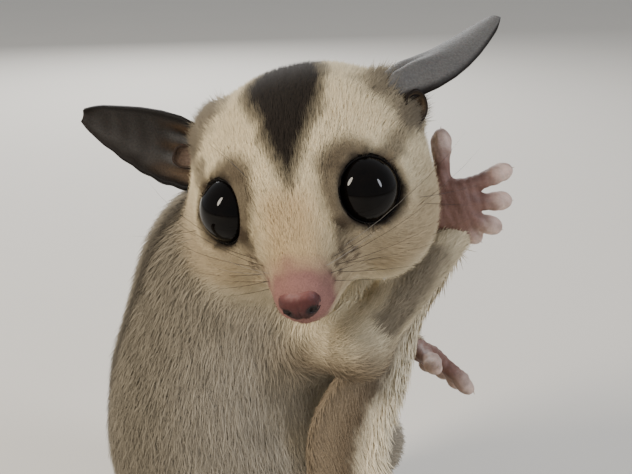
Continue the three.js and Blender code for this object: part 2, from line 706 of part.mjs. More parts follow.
const HAND_DIGITS = [
  { base: [2.6, 3.4, -0.1], turn: 72, length: 8.8, radius: 1.7, curl: 0.6, claw: true },
  { base: [5.4, 2.4, 0], turn: 3, length: 7.9, radius: 1.6, curl: 1.8, claw: true },
  { base: [5.5, 0.2, 0], turn: -18, length: 6.4, radius: 1.6, curl: 2.2, claw: true },
  { base: [4.7, -1.7, 0], turn: -42, length: 5.4, radius: 1.55, curl: 2, claw: true },
  { base: [3.2, -2.5, -0.6], turn: -60, length: 4, radius: 1.4, curl: 1.8, claw: true },
];
const FOOT_DIGITS = [
  { base: [7, 2.6, 0.1], turn: 62, length: 7, radius: 1.2, curl: 0, claw: false },
  { base: [11, 1.9, 0.1], turn: 10, length: 7, radius: 1.05, curl: 0, claw: true },
  { base: [11.4, 0.6, 0.1], turn: 4, length: 7.6, radius: 1.05, curl: 0, claw: true },
  { base: [11.4, -1, 0.1], turn: -8, length: 9.4, radius: 1.15, curl: 0, claw: true },
  { base: [10.4, -2.4, 0.1], turn: -22, length: 8.2, radius: 1.1, curl: 0, claw: true },
];

const RIGHT_HAND_ALONG = new THREE.Vector3(0.93, -0.05, 0.36);
const RIGHT_HAND_BACK = new THREE.Vector3(0.05, -0.93, 0.3);
const handFrames = {
  right: pawFrame(body(22.6, -4.4, 76), RIGHT_HAND_ALONG, RIGHT_HAND_BACK),
  left: pawFrame(body(22.6, 10.6, 46), body(0.9, -0.35, -0.45), body(0.4, 0.3, 0.85)),
};

/** A hand or foot: the palm and its digits. */
function paw(frame, palm, digits, thumbSide) {
  const fingers = digits.map((one) => digit(frame, one, thumbSide));
  return joined([meshed(palm, PAW_CELL), ...fingers]);
}

const palmShape = (frame) =>
  blend(
    PALM_BLEND,
    ellipsoid(frame, [3.2, 0.3, -0.1], [4, 4, 1.9]),
    ellipsoid(frame, [0.2, 0, -0.1], [2.6, 2.3, 1.9]),
  );

// Legs and feet
const legs = {
  right: { hip: [-4, -11, 18], knee: [14, -17, 23], ankle: [0, -19.5, 6.2], toes: [1, -0.16] },
  left: { hip: [-4, 11, 18], knee: [15, 17, 22], ankle: [1, 19.5, 6.2], toes: [1, 0.24] },
};
const legShape = ({ hip, knee, ankle }) =>
  bones(LEG_BLEND, [body(...hip), 11.5], [body(...knee), 7.4], [body(...ankle), 4.2]);
const leg = (name) => grown(legShape(legs[name]), trunk, { cell: LEG_CELL, blendWidth: LEG_BLEND });
const SOLE = 2.1; // height of a foot's middle over the floor
const footFrame = ({ ankle, toes }) =>
  pawFrame(body(ankle[0] - 2, ankle[1], SOLE - 0.6), body(toes[0], toes[1], 0), new THREE.Vector3(0, 0, 1));
const soleShape = (frame) =>
  blend(
    SOLE_BLEND,
    ellipsoid(frame, [1.5, 0, 0.6], [4.2, 3, 2.7]),
    ellipsoid(frame, [7.5, 0.1, 0.2], [6, 3.9, 2.1]),
  );

// Gliding skin: a slack sheet between the line that it grows from and its free edge
const membranes = {
  right: {
    rootLine: [[24, -5, 72.4], [16, -14, 66], [8, -18.5, 58], [2, -17, 46], [2, -17, 34], [4, -17, 24]],
    freeLine: [
      [27, -4.4, 70.2], [22, -8.5, 63.6], [17.5, -14, 54.5], [13, -19.5, 44], [13, -22, 34], [14, -22.5, 26],
    ],
  },
  left: {
    rootLine: [[19, 12, 45], [12, 16, 43.5], [6, 17, 41], [3, 17, 37], [3, 17, 31], [5, 17, 24]],
    freeLine: [
      [20.5, 13, 41.6], [15, 18, 39], [11.5, 20.5, 36], [10.5, 22, 32.5], [12, 22.5, 29], [14, 22.5, 25.5],
    ],
  },
};

/** A smooth path through points given in the body's frame. */
const bodyPath = (points) =>
  new THREE.CatmullRomCurve3(points.map((point) => body(...point)), false, "centripetal");

/** A sheet of even thickness between two lines, its two faces split into triangles alike. */
function membrane({ rootLine, freeLine }) {
  const along = 13;
  const across = 2;
  const roots = bodyPath(rootLine);
  const edges = bodyPath(freeLine);
  const at = (u, v) => roots.getPoint(u).lerp(edges.getPoint(u), v);
  const rings = [];
  for (let i = 0; i <= along; i += 1) {
    const u = i / along;
    const front = [];
    const back = [];
    for (let j = 0; j <= across; j += 1) {
      const v = j / across;
      const du = at(Math.min(u + 0.02, 1), v).sub(at(Math.max(u - 0.02, 0), v));
      const dv = edges.getPoint(u).sub(roots.getPoint(u));
      const normal = new THREE.Vector3().crossVectors(du, dv).setLength(MEMBRANE_THICKNESS / 2);
      front.push(at(u, v).add(normal));
      back.push(at(u, v).sub(normal));
    }
    rings.push([...front, ...back.reverse()]);
  }
  return loft(rings, at(0, 0.5), at(1, 0.5));
}

// Tail: from the rump back along the floor in one slow curve, in three lengths. A core of flesh and
// underfur carries rings of long flat locks that lie toward the tip.
const tailPath = bodyPath([
  [-6, 0, 12],
  [-20, 1, 8.5],
  [-34, 2, TAIL_HEIGHT],
  [-56, 1, TAIL_HEIGHT],
  [-80, -6, TAIL_HEIGHT],
  [-102, -18, TAIL_HEIGHT],
  [-118, -34, 4.3],
  [-127, -52, 3.6],
]);
const TAIL_CUTS = [0.42, 0.72]; // shares of the path where one length meets the next
const CORE_SHARE = 0.48; // of the way from the tail's middle line to the tips of its hair
const CORE_END = 0.9; // share of the path where the core ends

/** How thick the furred tail is at a share of its length. */
function tailRadius(share) {
  const root = THREE.MathUtils.smoothstep(share, -0.1, 0.35);
  const tip = Math.sqrt(Math.max(0, 1 - Math.max(0, (share - 0.72) / 0.29) ** 2));
  return THREE.MathUtils.lerp(6.5, TAIL_RADIUS, root) * tip;
}

/** How thick the tail's core is at a share of its length. */
const coreRadius = (share) => CORE_SHARE * Math.max(tailRadius(share), 0.55 * TAIL_RADIUS);

/** A point of the tail at a share of its length, a distance out at an angle from its left side upward. */
function tailPoint(share, angle, reach) {
  const along = tailPath.getTangentAt(share);
  const across = new THREE.Vector3(0, 0, 1).cross(along).normalize();
  const up = new THREE.Vector3().crossVectors(along, across);
  return tailPath.getPointAt(share)
    .addScaledVector(across, reach * Math.cos(angle))
    .addScaledVector(up, reach * Math.sin(angle));
}

/** The tail's core as one smooth form. */
function tailCore() {
  const steps = 16;
  const ringSides = 10;
  const rings = Array.from({ length: steps + 1 }, (_, r) => {
    const share = (CORE_END * r) / steps;
    const angles = Array.from({ length: ringSides }, (__, i) => (2 * Math.PI * i) / ringSides);
    return angles.map((angle) => tailPoint(share, angle, coreRadius(share)));
  });
  return loft(rings, tailPath.getPointAt(0), tailPath.getPointAt(CORE_END + 0.03));
}

/** An even spread of numbers from 0 to 1 that looks like chance, the same in every run. */
const chance = (seed) => {
  const wave = Math.sin(seed * 12.9898) * 43758.5453;
  return wave - Math.floor(wave);
};

/** One flat lock, rooted in the core and lying along the tail until its tip is at the coat's outside. */
function tailLock(rootShare, angle, length, seed) {
  const twist = 0.25 * (chance(seed) - 0.5);
  const spread = 0.88 + 0.12 * chance(seed + 0.5);
  const rootReach = coreRadius(rootShare) - LOCK_SINK;
  const shareAt = (u) => Math.min(rootShare + (u * length) / tailPath.getLength(), 1);
  const at = (u) => {
    const share = shareAt(u);
    const gathered = Math.min(1, (1 - share) / (1 - CORE_END));
    const tipReach = spread * gathered * tailRadius(Math.min(share, CORE_END));
    const reach = THREE.MathUtils.lerp(rootReach, tipReach, Math.max(u, 0) ** 0.75);
    const point = tailPoint(share, angle + twist * u, reach);
    point.z = Math.max(point.z, LOCK_CLEARANCE);
    return point;
  };
  const rings = LOCK_SECTIONS.map(({ u, wide, thick }) => {
    const middle = at(u);
    const along = at(u + 0.04).sub(at(u - 0.04)).normalize();
    const out = middle.clone().sub(tailPath.getPointAt(shareAt(u)));
    out.addScaledVector(along, -out.dot(along)).normalize();
    const aside = new THREE.Vector3().crossVectors(along, out).multiplyScalar((wide * LOCK_WIDTH) / 2);
    out.multiplyScalar(thick / 2);
    return [aside, out, aside.clone().negate(), out.clone().negate()].map((arm) => middle.clone().add(arm));
  });
  return loft(rings, at(0), at(1));
}

/** All the locks that are rooted between two shares of the tail. */
function tailLocks(from, upTo) {
  const locks = [];
  const pathLength = tailPath.getLength();
  const rows = Math.floor((CORE_END * pathLength) / LOCK_SPACING);
  for (let row = 1; row <= rows; row += 1) {
    const share = (row * LOCK_SPACING) / pathLength;
    if (share < from || share >= upTo) continue;
    const around = share < 0.7 ? LOCKS_AROUND : LOCKS_AROUND - 2;
    for (let i = 0; i < around; i += 1) {
      const seed = row * LOCKS_AROUND + i;
      const angle = (2 * Math.PI * (i + (row % 2) / 2 + 0.2 * chance(seed + 0.2))) / around;
      if (Math.sin(angle) < LOWEST_LOCK) continue;
      const length = LOCK_LENGTH * (0.85 + 0.3 * chance(seed + 0.7));
      locks.push(tailLock(share, angle, length, seed));
    }
  }
  return locks;
}

/** The tail's three lengths: the core cut across its path with gaps, and each length's locks. */
function tailLengths() {
  const core = tailCore();
  const cut = (share, flip) => {
    const normal = tailPath.getTangentAt(share).multiplyScalar(flip);
    return (length) => beyond(length, tailPath.getPointAt(share), normal, GAP / 2);
  };
  const [rootCut, tipCut] = TAIL_CUTS;
  const cores = {
    tail_root: cut(rootCut, -1)(core),
    tail_middle: cut(tipCut, -1)(cut(rootCut, 1)(core)),
    tail_tip: cut(tipCut, 1)(core),
  };
  const starts = [0, ...TAIL_CUTS];
  const ends = [...TAIL_CUTS, 1];
  return Object.entries(cores).map(([name, length], i) => [
    name,
    onFloor(joined([length, ...tailLocks(starts[i], ends[i] - LOCK_MARGIN)])),
  ]);
}

// The whole animal, node by node, each cut clear of what it lies against
addNode("torso", onFloor(meshed(trunk, TORSO_CELL)), materials.coat);
addNode("head", headSolid(), materials.face, ["torso"]);
addNode("nose", nose(), materials.noseSkin);

for (const [name, side] of Object.entries(sides)) {
  addNode(`eye_${name}`, eyeBall(side, EYE_RADIUS), materials.eye);
  addNode(`ear_${name}`, ear(side, earPlaces[name]), materials.earSkin, ["head", "torso"]);
  addNode(`arm_${name}`, arm(name), materials.limb, ["torso", "head"]);
  addNode(`leg_${name}`, leg(name), materials.limb, ["torso"]);
  const frame = handFrames[name];
  const hand = paw(frame, palmShape(frame), HAND_DIGITS, -side);
  addNode(`hand_${name}`, hand, materials.pinkSkin, [`arm_${name}`]);
  const sole = footFrame(legs[name]);
  const foot = onFloor(paw(sole, soleShape(sole), FOOT_DIGITS, -side));
  addNode(`foot_${name}`, foot, materials.pinkSkin, [`leg_${name}`, "torso"]);
  const around = ["torso", "head", `arm_${name}`, `leg_${name}`, `hand_${name}`];
  addNode(`patagium_${name}`, membrane(membranes[name]), materials.limb, around, MEMBRANE_GAP);
}

let before = [];
for (const [name, length] of tailLengths()) {
  addNode(name, length, materials.tail, ["torso", ...before]);
  before = [name];
}

export default part;
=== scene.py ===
"""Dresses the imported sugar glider: one skin, its coat in tufts and locks, eyes, nose, ears, hands and feet.

Everything is measured in millimetres in the frame of the CAD and turned to metres when a mesh is made. In
the body's frame x runs forward to the belly's side, y to the animal's left and z up. In the head's frame x
runs to the animal's left, y back and z up, from midway between the eye openings.
"""

from __future__ import annotations

import logging
import math
from dataclasses import dataclass, field
from enum import Enum, IntEnum
from typing import Callable, Protocol, Sequence

import bmesh
import bpy
import numpy as np
from mathutils import Matrix, Vector

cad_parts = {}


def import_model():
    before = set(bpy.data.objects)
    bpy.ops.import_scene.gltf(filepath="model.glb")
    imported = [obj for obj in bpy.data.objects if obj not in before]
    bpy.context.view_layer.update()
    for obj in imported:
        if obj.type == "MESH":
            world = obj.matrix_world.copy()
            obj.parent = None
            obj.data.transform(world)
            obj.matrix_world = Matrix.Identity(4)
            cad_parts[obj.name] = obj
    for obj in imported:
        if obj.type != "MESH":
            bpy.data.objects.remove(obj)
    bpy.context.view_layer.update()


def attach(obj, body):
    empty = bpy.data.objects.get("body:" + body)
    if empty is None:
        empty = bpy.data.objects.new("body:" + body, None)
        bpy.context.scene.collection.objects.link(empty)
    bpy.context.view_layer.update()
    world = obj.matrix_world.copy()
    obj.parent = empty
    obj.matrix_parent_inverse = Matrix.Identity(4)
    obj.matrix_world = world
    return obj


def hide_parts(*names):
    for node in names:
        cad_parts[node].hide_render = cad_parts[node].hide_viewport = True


LOG = logging.getLogger("sugar_glider")
MM = 0.001
FLOOR_CLEARANCE = 0.12
ROOT = "root"
UP = np.array([0.0, 0.0, 1.0])
LEAST_SLOPE = 0.15
LONGEST_STEP = 1.5
WAVES = 5
WAVE_SPREAD = (0.7, 1.4)
WAVE_GAIN = 1.6
Points = np.ndarray
Trio = tuple[float, float, float]
Level = Callable[[Points], np.ndarray]


# Small numeric helpers


def smooth(low: float, high: float, value: np.ndarray) -> np.ndarray:
    """A soft step from 0 at `low` to 1 at `high`, falling where `high` lies below `low`."""
    t = np.clip((value - low) / (high - low), 0.0, 1.0)
    return t * t * (3.0 - 2.0 * t)


def unit(vectors: Points) -> Points:
    """Vectors scaled to length one."""
    return vectors / np.maximum(np.linalg.norm(vectors, axis=-1, keepdims=True), 1e-9)


def dot(first: Points, second: Points) -> np.ndarray:
    """The dot product of each row with its partner."""
    return np.sum(first * second, axis=-1)


def mix(first: Points, second: Points, share: np.ndarray) -> Points:
    """Rows of `first` changed toward `second` by each share."""
    return first + (second - first) * np.asarray(share)[..., None]


def laid(vectors: Points, normals: Points) -> Points:
    """Vectors laid flat on the surface with these normals, scaled to length one."""
    return unit(vectors - dot(vectors, normals)[:, None] * normals)


def wander(points: Points, size: float, seed: int) -> np.ndarray:
    """A smooth wandering number from about -1 to 1, the same at the same place.

    Args:
        points: places in millimetres.
        size: how far apart its swells are, in millimetres.
        seed: which of many such patterns.

    Returns:
        One number for each place.
    """
    rng = np.random.default_rng(seed)
    total = np.zeros(len(points))
    for _ in range(WAVES):
        direction = unit(rng.normal(size=3))
        phase = rng.uniform(0, 2 * math.pi)
        pace = 2 * math.pi / (size * rng.uniform(*WAVE_SPREAD))
        total += np.sin(points @ direction * pace + phase)
    return total * WAVE_GAIN / WAVES


def off_line(points: Points, start: Points, end: Points) -> tuple[np.ndarray, np.ndarray]:
    """How far points lie off a line between two ends, and at what share of it each is nearest."""
    along = np.asarray(end, float) - start
    share = np.clip((points - start) @ along / (along @ along), 0, 1)
    return np.linalg.norm(points - start - share[:, None] * along, axis=1), share


def linear(hex_colour: str) -> Trio:
    """An sRGB hex colour as linear red, green and blue."""
    channels = [int(hex_colour[i : i + 2], 16) / 255 for i in (1, 3, 5)]
    return tuple(c / 12.92 if c <= 0.04045 else ((c + 0.055) / 1.055) ** 2.4 for c in channels)


def bell(offset: np.ndarray, width: float) -> np.ndarray:
    """A soft ridge, 1 at no offset and nearly 0 from twice its width."""
    return np.exp(-((offset / width) ** 2))


def solid(colour: str, like: Points) -> Points:
    """One hex colour in linear rows, as many as another array has."""
    return np.broadcast_to(linear(colour), (len(like), 3))


def toward(tint: Points, colour: str, share: np.ndarray) -> Points:
    """Linear colours changed toward one hex colour by each share."""
    return mix(tint, np.array(linear(colour)), share)


# Frames and paths


@dataclass(frozen=True)
class Frame:
    """A frame that shapes are placed in: a turn and an origin."""

    turn: Points
    origin: Points

    def out(self, points: Sequence[float] | Points) -> Points:
        """Points of this frame in the part's frame."""
        return np.asarray(points, float) @ self.turn.T + self.origin

    def into(self, points: Points) -> Points:
        """Points of the part's frame in this frame."""
        return (points - self.origin) @ self.turn

    def aim(self, vectors: Sequence[float] | Points) -> Points:
        """Directions of this frame in the part's frame."""
        return np.asarray(vectors, float) @ self.turn.T

    def matrix(self) -> Matrix:
        """The frame as a matrix for Blender."""
        turn = Matrix(self.turn.tolist()).to_4x4()
        return Matrix.Translation(self.origin.tolist()) @ turn


def turned(pitch: float, roll: float, yaw: float) -> Points:
    """A turn about y by roll, then about x by pitch, then about z by yaw, in degrees."""
    turns = ((yaw, "Z"), (pitch, "X"), (roll, "Y"))
    steps = [Matrix.Rotation(math.radians(angle), 3, axis) for angle, axis in turns]
    return np.array(steps[0] @ steps[1] @ steps[2])


WORLD = Frame(np.eye(3), np.zeros(3))
BODY = Frame(turned(0, 0, 5), np.zeros(3))
HEAD = Frame(turned(14.1, -12.2, -6.1), np.array([2.0, -18.0, 84.0]))


def paw_frame(place: Points, along: Points, back: Points) -> Frame:
    """A frame at a wrist or heel: x toward the fingers, y across, z out of the back of the hand."""
    forward = unit(along)
    upward = unit(back - forward * (back @ forward))
    return Frame(np.column_stack([forward, np.cross(upward, forward), upward]), place)


def standing(place: Points, axis: Points) -> Matrix:
    """A frame for Blender at a place, with z along an axis."""
    turn = Vector(axis.tolist()).to_track_quat("Z", "Y").to_matrix().to_4x4()
    return Matrix.Translation(place.tolist()) @ turn


class Path:
    """A smooth path through points, read by share of its points or by share of its length."""

    SAMPLES = 240

    def __init__(self, points: Points) -> None:
        """Keeps the points and measures the path."""
        self.points = np.asarray(points, float)
        self.shares = np.linspace(0, 1, self.SAMPLES + 1)
        self.line = np.array([self.point(u) for u in self.shares])
        steps = np.linalg.norm(np.diff(self.line, axis=0), axis=1)
        self.run = np.concatenate([[0.0], np.cumsum(steps)])
        self.length = float(self.run[-1])
        self.tangents = unit(np.gradient(self.line, self.run, axis=0))

    def point(self, share: float) -> Points:
        """The centripetal Catmull-Rom point at a share of the way, counted by points."""
        last = len(self.points) - 1
        place = share * last
        i = min(int(place), last - 1)
        t = place - i
        p = self.points
        before = p[i - 1] if i > 0 else 2 * p[0] - p[1]
        after = p[i + 2] if i + 2 <= last else 2 * p[last] - p[last - 1]
        here, then = p[i], p[i + 1]
        gaps = [np.linalg.norm(b - a) ** 0.5 for a, b in ((before, here), (here, then), (then, after))]
        m0 = (here - before) / gaps[0] - (then - before) / (gaps[0] + gaps[1]) + (then - here) / gaps[1]
        m1 = (then - here) / gaps[1] - (after - here) / (gaps[1] + gaps[2]) + (after - then) / gaps[2]
        m0, m1 = m0 * gaps[1], m1 * gaps[1]
        cubic = 2 * here - 2 * then + m0 + m1
        square = -3 * here + 3 * then - 2 * m0 - m1
        return here + m0 * t + square * t**2 + cubic * t**3

    def _read(self, rows: Points, share: np.ndarray | float) -> Points:
        """Rows that are kept along the path, read at shares of its length."""
        run = np.asarray(share) * self.length
        return np.stack([np.interp(run, self.run, rows[:, axis]) for axis in range(3)], axis=-1)

    def at(self, share: np.ndarray | float) -> Points:
        """Points at shares of the path's length."""
        return self._read(self.line, share)

    def heading(self, share: np.ndarray | float) -> Points:
        """Directions at shares of the path's length."""
        return unit(self._read(self.tangents, share))

    def nearest(self, points: Points) -> np.ndarray:
        """The share of the path's length that lies nearest to each point."""
        apart = ((points[:, None, :] - self.line[None, ::2, :]) ** 2).sum(axis=2)
        return self.run[::2][apart.argmin(axis=1)] / self.length


# Shapes given by a distance


class Shape(Protocol):
    """A soft solid that knows how far points lie outside it and can block itself into a mesh."""

    def distance(self, points: Points) -> np.ndarray:
        """How far each point lies outside the shape, negative inside it."""

    def block_in(self, bm: bmesh.types.BMesh) -> None:
        """Adds closed forms about as large as the shape."""


@dataclass(frozen=True)
class Ellipsoid:
    """An ellipsoid in a frame."""

    frame: Frame
    centre: Sequence[float]
    radii: Trio

    def distance(self, points: Points) -> np.ndarray:
        """How far each point lies outside."""
        radii = np.array(self.radii)
        scaled = (self.frame.into(points) - np.array(self.centre)) / radii
        reach = np.linalg.norm(scaled, axis=1)
        return reach * (reach - 1) / np.maximum(np.linalg.norm(scaled / radii, axis=1), 1e-6)

    def block_in(self, bm: bmesh.types.BMesh) -> None:
        """Adds a stretched ball."""
        stretch = Matrix.Diagonal((*self.radii, 1))
        place = self.frame.matrix() @ Matrix.Translation(list(self.centre)) @ stretch
        bmesh.ops.create_icosphere(bm, subdivisions=4, radius=1.0, matrix=place)


@dataclass(frozen=True)
class Bone:
    """A rounded cone between two points of the part's frame."""

    start: Points
    end: Points
    start_radius: float
    end_radius: float

    def distance(self, points: Points) -> np.ndarray:
        """How far each point lies outside."""
        along = self.end - self.start
        length = float(np.linalg.norm(along))
        lean = (self.start_radius - self.end_radius) / length
        side = math.sqrt(1 - lean * lean)
        offset = points - self.start
        run = offset @ (along / length)
        rho = np.sqrt(np.maximum(dot(offset, offset) - run * run, 0))
        place = -lean * rho + side * run
        flank = side * rho + lean * run - self.start_radius
        foot = np.hypot(rho, run) - self.start_radius
        crown = np.hypot(rho, run - length) - self.end_radius
        return np.where(place < 0, foot, np.where(place > side * length, crown, flank))

    def block_in(self, bm: bmesh.types.BMesh) -> None:
        """Adds a ball at each end and a cone between them."""
        for middle, radius in ((self.start, self.start_radius), (self.end, self.end_radius)):
            place = Matrix.Translation(middle.tolist())
            bmesh.ops.create_icosphere(bm, subdivisions=3, radius=radius, matrix=place)
        along = self.end - self.start
        radii = {"radius1": self.start_radius, "radius2": self.end_radius}
        place = standing((self.start + self.end) / 2, along)
        depth = Vector(along.tolist()).length
        bmesh.ops.create_cone(bm, cap_ends=True, segments=32, depth=depth, matrix=place, **radii)


@dataclass(frozen=True)
class Blend:
    """Shapes joined with a soft crease of the given width."""

    width: float
    shapes: Sequence[Shape]

    def distance(self, points: Points) -> np.ndarray:
        """How far each point lies outside."""
        least = self.shapes[0].distance(points)
        for shape in self.shapes[1:]:
            least = soft_least(least, shape.distance(points), self.width)
        return least

    def block_in(self, bm: bmesh.types.BMesh) -> None:
        """Adds every shape's closed forms."""
        for shape in self.shapes:
            shape.block_in(bm)


def soft_least(first: np.ndarray, second: np.ndarray, width: float) -> np.ndarray:
    """The lesser of two distances, with a soft crease of the given width."""
    near = np.maximum(width - np.abs(first - second), 0) / width
    return np.minimum(first, second) - near * near * width / 4


def soft_most(first: np.ndarray, second: np.ndarray, width: float) -> np.ndarray:
    """The greater of two distances, with a soft crease of the given width."""
    return -soft_least(-first, -second, width)


def chain(width: float, points: Sequence[Points], radii: Sequence[float]) -> Blend:
    """A chain of rounded cones through points, with a radius at each."""
    links = zip(points[:-1], points[1:], radii[:-1], radii[1:])
    return Blend(width, [Bone(a, b, ra, rb) for a, b, ra, rb in links])


def slope_of(level: Level, points: Points, step: float = 0.02) -> Points:
    """The steepest ascent of a level at points, by small differences."""
    reach = np.eye(3) * step
    return np.stack([level(points + arm) - level(points - arm) for arm in reach], axis=1) / (2 * step)


def settled(level: Level, points: Points, rounds: int = 4) -> Points:
    """Moves points onto the surface where a level is zero.

    Args:
        level: a number for each point that grows outward, about one for each millimetre.
        points: the points to move.
        rounds: how many steps to take.

    Returns:
        The moved points.
    """
    moved = points.copy()
    for _ in range(rounds):
        slope = slope_of(level, moved)
        step = -(level(moved) / np.maximum(dot(slope, slope), LEAST_SLOPE))[:, None] * slope
        reach = np.linalg.norm(step, axis=1, keepdims=True)
        moved += step * np.minimum(1, LONGEST_STEP / np.maximum(reach, 1e-9))
    return moved


# Meshes


@dataclass
class Surface:
    """A mesh as arrays, in millimetres."""

    points: Points
    triangles: np.ndarray

    @property
    def corners(self) -> Points:
        """The three corners of each triangle."""
        return self.points[self.triangles]

    def normals(self) -> Points:
        """An outward normal at each point."""
        a, b, c = self.corners.transpose(1, 0, 2)
        face = np.cross(b - a, c - a)
        total = np.zeros_like(self.points)
        for corner in range(3):
            np.add.at(total, self.triangles[:, corner], face)
        return unit(total)

    def scatter(self, count: int, rng: np.random.Generator, crowd: np.ndarray) -> tuple[Points, Points]:
        """Spreads places evenly over the surface, closer together where it is more crowded.

        Args:
            count: how many places.
            rng: the source of chance.
            crowd: how crowded each point of the surface is, 0 for bare.

        Returns:
            The places and the normals there.
        """
        a, b, c = self.corners.transpose(1, 0, 2)
        area = np.linalg.norm(np.cross(b - a, c - a), axis=1) / 2
        weight = area * crowd[self.triangles].mean(axis=1)
        run = np.cumsum(weight)
        picks = (np.arange(count) + rng.random(count)) / count * run[-1]
        chosen = np.minimum(np.searchsorted(run, picks), len(run) - 1)
        u, v = np.sqrt(rng.random(count)), rng.random(count)
        shares = np.stack([1 - u, u * (1 - v), u * v], axis=1)
        spots = self.triangles[chosen]
        places = (self.points[spots] * shares[..., None]).sum(axis=1)
        normals = (self.normals()[spots] * shares[..., None]).sum(axis=1)
        return places, unit(normals)


def link(data: bpy.types.ID, name: str) -> bpy.types.Object:
    """A new object of the scene around a mesh, a lamp or a lens."""
    made = bpy.data.objects.new(name, data)
    bpy.context.scene.collection.objects.link(made)
    return made


def mesh_of(bm: bmesh.types.BMesh, name: str) -> bpy.types.Mesh:
    """A mesh from a bmesh, which is freed."""
    mesh = bpy.data.meshes.new(name)
    bm.to_mesh(mesh)
    bm.free()
    return mesh


def add_to(bm: bmesh.types.BMesh, extra: bmesh.types.BMesh) -> None:
    """Adds one bmesh to another and frees it."""
    mesh = mesh_of(extra, "extra")
    bm.from_mesh(mesh)
    bpy.data.meshes.remove(mesh)


def remeshed(bm: bmesh.types.BMesh, voxel: float) -> bmesh.types.BMesh:
    """The closed forms of a bmesh joined into one skin of even squares."""
    lump = link(mesh_of(bm, "lump"), "lump")
    modifier = lump.modifiers.new("Remesh", "REMESH")
    modifier.mode = "VOXEL"
    modifier.voxel_size = voxel
    graph = bpy.context.evaluated_depsgraph_get()
    made = bpy.data.meshes.new_from_object(lump.evaluated_get(graph))
    rough = lump.data
    bpy.data.objects.remove(lump)
    bpy.data.meshes.remove(rough)
    whole = bmesh.new()
    whole.from_mesh(made)
    bpy.data.meshes.remove(made)
    return whole


def places_of(bm: bmesh.types.BMesh) -> Points:
    """Where the points of a bmesh are."""
    return np.array([vert.co for vert in bm.verts], float).reshape(-1, 3)


def move_to(bm: bmesh.types.BMesh, points: Points) -> None:
    """Moves the points of a bmesh."""
    for vert, place in zip(bm.verts, points.tolist()):
        vert.co = place


def surface_of(bm: bmesh.types.BMesh) -> Surface:
    """A bmesh as arrays, with its faces split into triangles."""
    triangles = [[loop.vert.index for loop in tri] for tri in bm.calc_loop_triangles()]
    return Surface(places_of(bm), np.array(triangles))


def ease(bm: bmesh.types.BMesh, factor: float) -> None:
    """Smooths a mesh by a share of the way to the middle of each point's neighbours."""
    axes = {f"use_axis_{axis}": True for axis in "xyz"}
    bmesh.ops.smooth_vert(bm, verts=bm.verts, factor=factor, **axes)


def put_in_order(bm: bmesh.types.BMesh) -> None:
    """Sorts faces and their corners, which some operators leave in an order that changes from run to run."""
    bm.verts.index_update()
    bm.verts.ensure_lookup_table()
    faces = []
    for face in bm.faces:
        ends = [vert.index for vert in face.verts]
        first = ends.index(min(ends))
        faces.append(ends[first:] + ends[:first])
    bmesh.ops.delete(bm, geom=bm.faces[:], context="FACES_ONLY")
    for ends in sorted(faces):
        bm.faces.new([bm.verts[end] for end in ends])
    bm.normal_update()


def thicken(bm: bmesh.types.BMesh, thickness: float) -> None:
    """Gives an open sheet a closed wall."""
    bmesh.ops.solidify(bm, geom=bm.verts[:] + bm.edges[:] + bm.faces[:], thickness=thickness)
    bmesh.ops.recalc_face_normals(bm, faces=bm.faces)
    put_in_order(bm)


def spun(profile: Sequence[tuple[float, float]], steps: int, ring: bool) -> bmesh.types.BMesh:
    """A solid turned round z.

    Args:
        profile: the radius and height of each point.
        steps: how many points go round.
        ring: whether the profile closes on itself, not on the axis.

    Returns:
        The solid.
    """
    bm = bmesh.new()
    verts = [bm.verts.new((radius, 0, height)) for radius, height in profile]
    edges = [bm.edges.new(pair) for pair in zip(verts, verts[1:] + (verts[:1] if ring else []))]
    whole = {"cent": (0, 0, 0), "axis": (0, 0, 1), "angle": 2 * math.pi}
    bmesh.ops.spin(bm, geom=verts + edges, steps=steps, use_merge=True, **whole)
    if not ring:
        bmesh.ops.remove_doubles(bm, verts=bm.verts, dist=1e-4)
    bmesh.ops.recalc_face_normals(bm, faces=bm.faces)
    put_in_order(bm)
    return bm


def modelled(shape: Shape, level: Level, voxel: float, finer: Level | None = None) -> bmesh.types.BMesh:
    """Blocks a shape in, joins it into one skin and settles the skin onto a level.

    Args:
        shape: what to block in.
        level: zero on the wanted surface.
        voxel: the size of the skin's squares.
        finer: true for places whose squares are split once more.

    Returns:
        The skin.
    """
    bm = bmesh.new()
    shape.block_in(bm)
    bm = remeshed(bm, voxel)
    move_to(bm, settled(level, places_of(bm)))
    ease(bm, 0.5)
    if finer is not None:
        fine = finer(places_of(bm))
        bm.verts.ensure_lookup_table()
        edges = [edge for edge in bm.edges if all(fine[vert.index] for vert in edge.verts)]
        bmesh.ops.subdivide_edges(bm, edges=edges, cuts=1, use_grid_fill=True)
        bm.verts.index_update()
    move_to(bm, settled(level, places_of(bm), rounds=3))
    return bm


def piece(
    bm: bmesh.types.BMesh,
    name: str,
    finish: bpy.types.Material,
    replaces: Sequence[str] = (),
    tint: Points | None = None,
) -> None:
    """Makes a finished piece of a bmesh in millimetres and sets it on the body.

    Args:
        bm: the piece's mesh, which is freed.
        name: the piece's name.
        finish: its material.
        replaces: the CAD nodes that it stands for.
        tint: a linear colour for each point, kept as the attribute "tint".
    """
    for face in bm.faces:
        face.smooth = True
    bm.transform(Matrix.Scale(MM, 4))
    mesh = mesh_of(bm, name)
    if tint is not None:
        add_tint(mesh, tint)
    placed(mesh, name, finish, replaces)


def add_tint(mesh: bpy.types.Mesh, tint: Points) -> None:
    """Keeps a linear colour for each point of a mesh as the attribute "tint"."""
    layer = mesh.color_attributes.new("tint", "FLOAT_COLOR", "POINT")
    colours = np.ones((len(tint), 4), np.float32)
    colours[:, :3] = np.clip(tint, 0, 1)
    layer.data.foreach_set("color", colours.ravel())


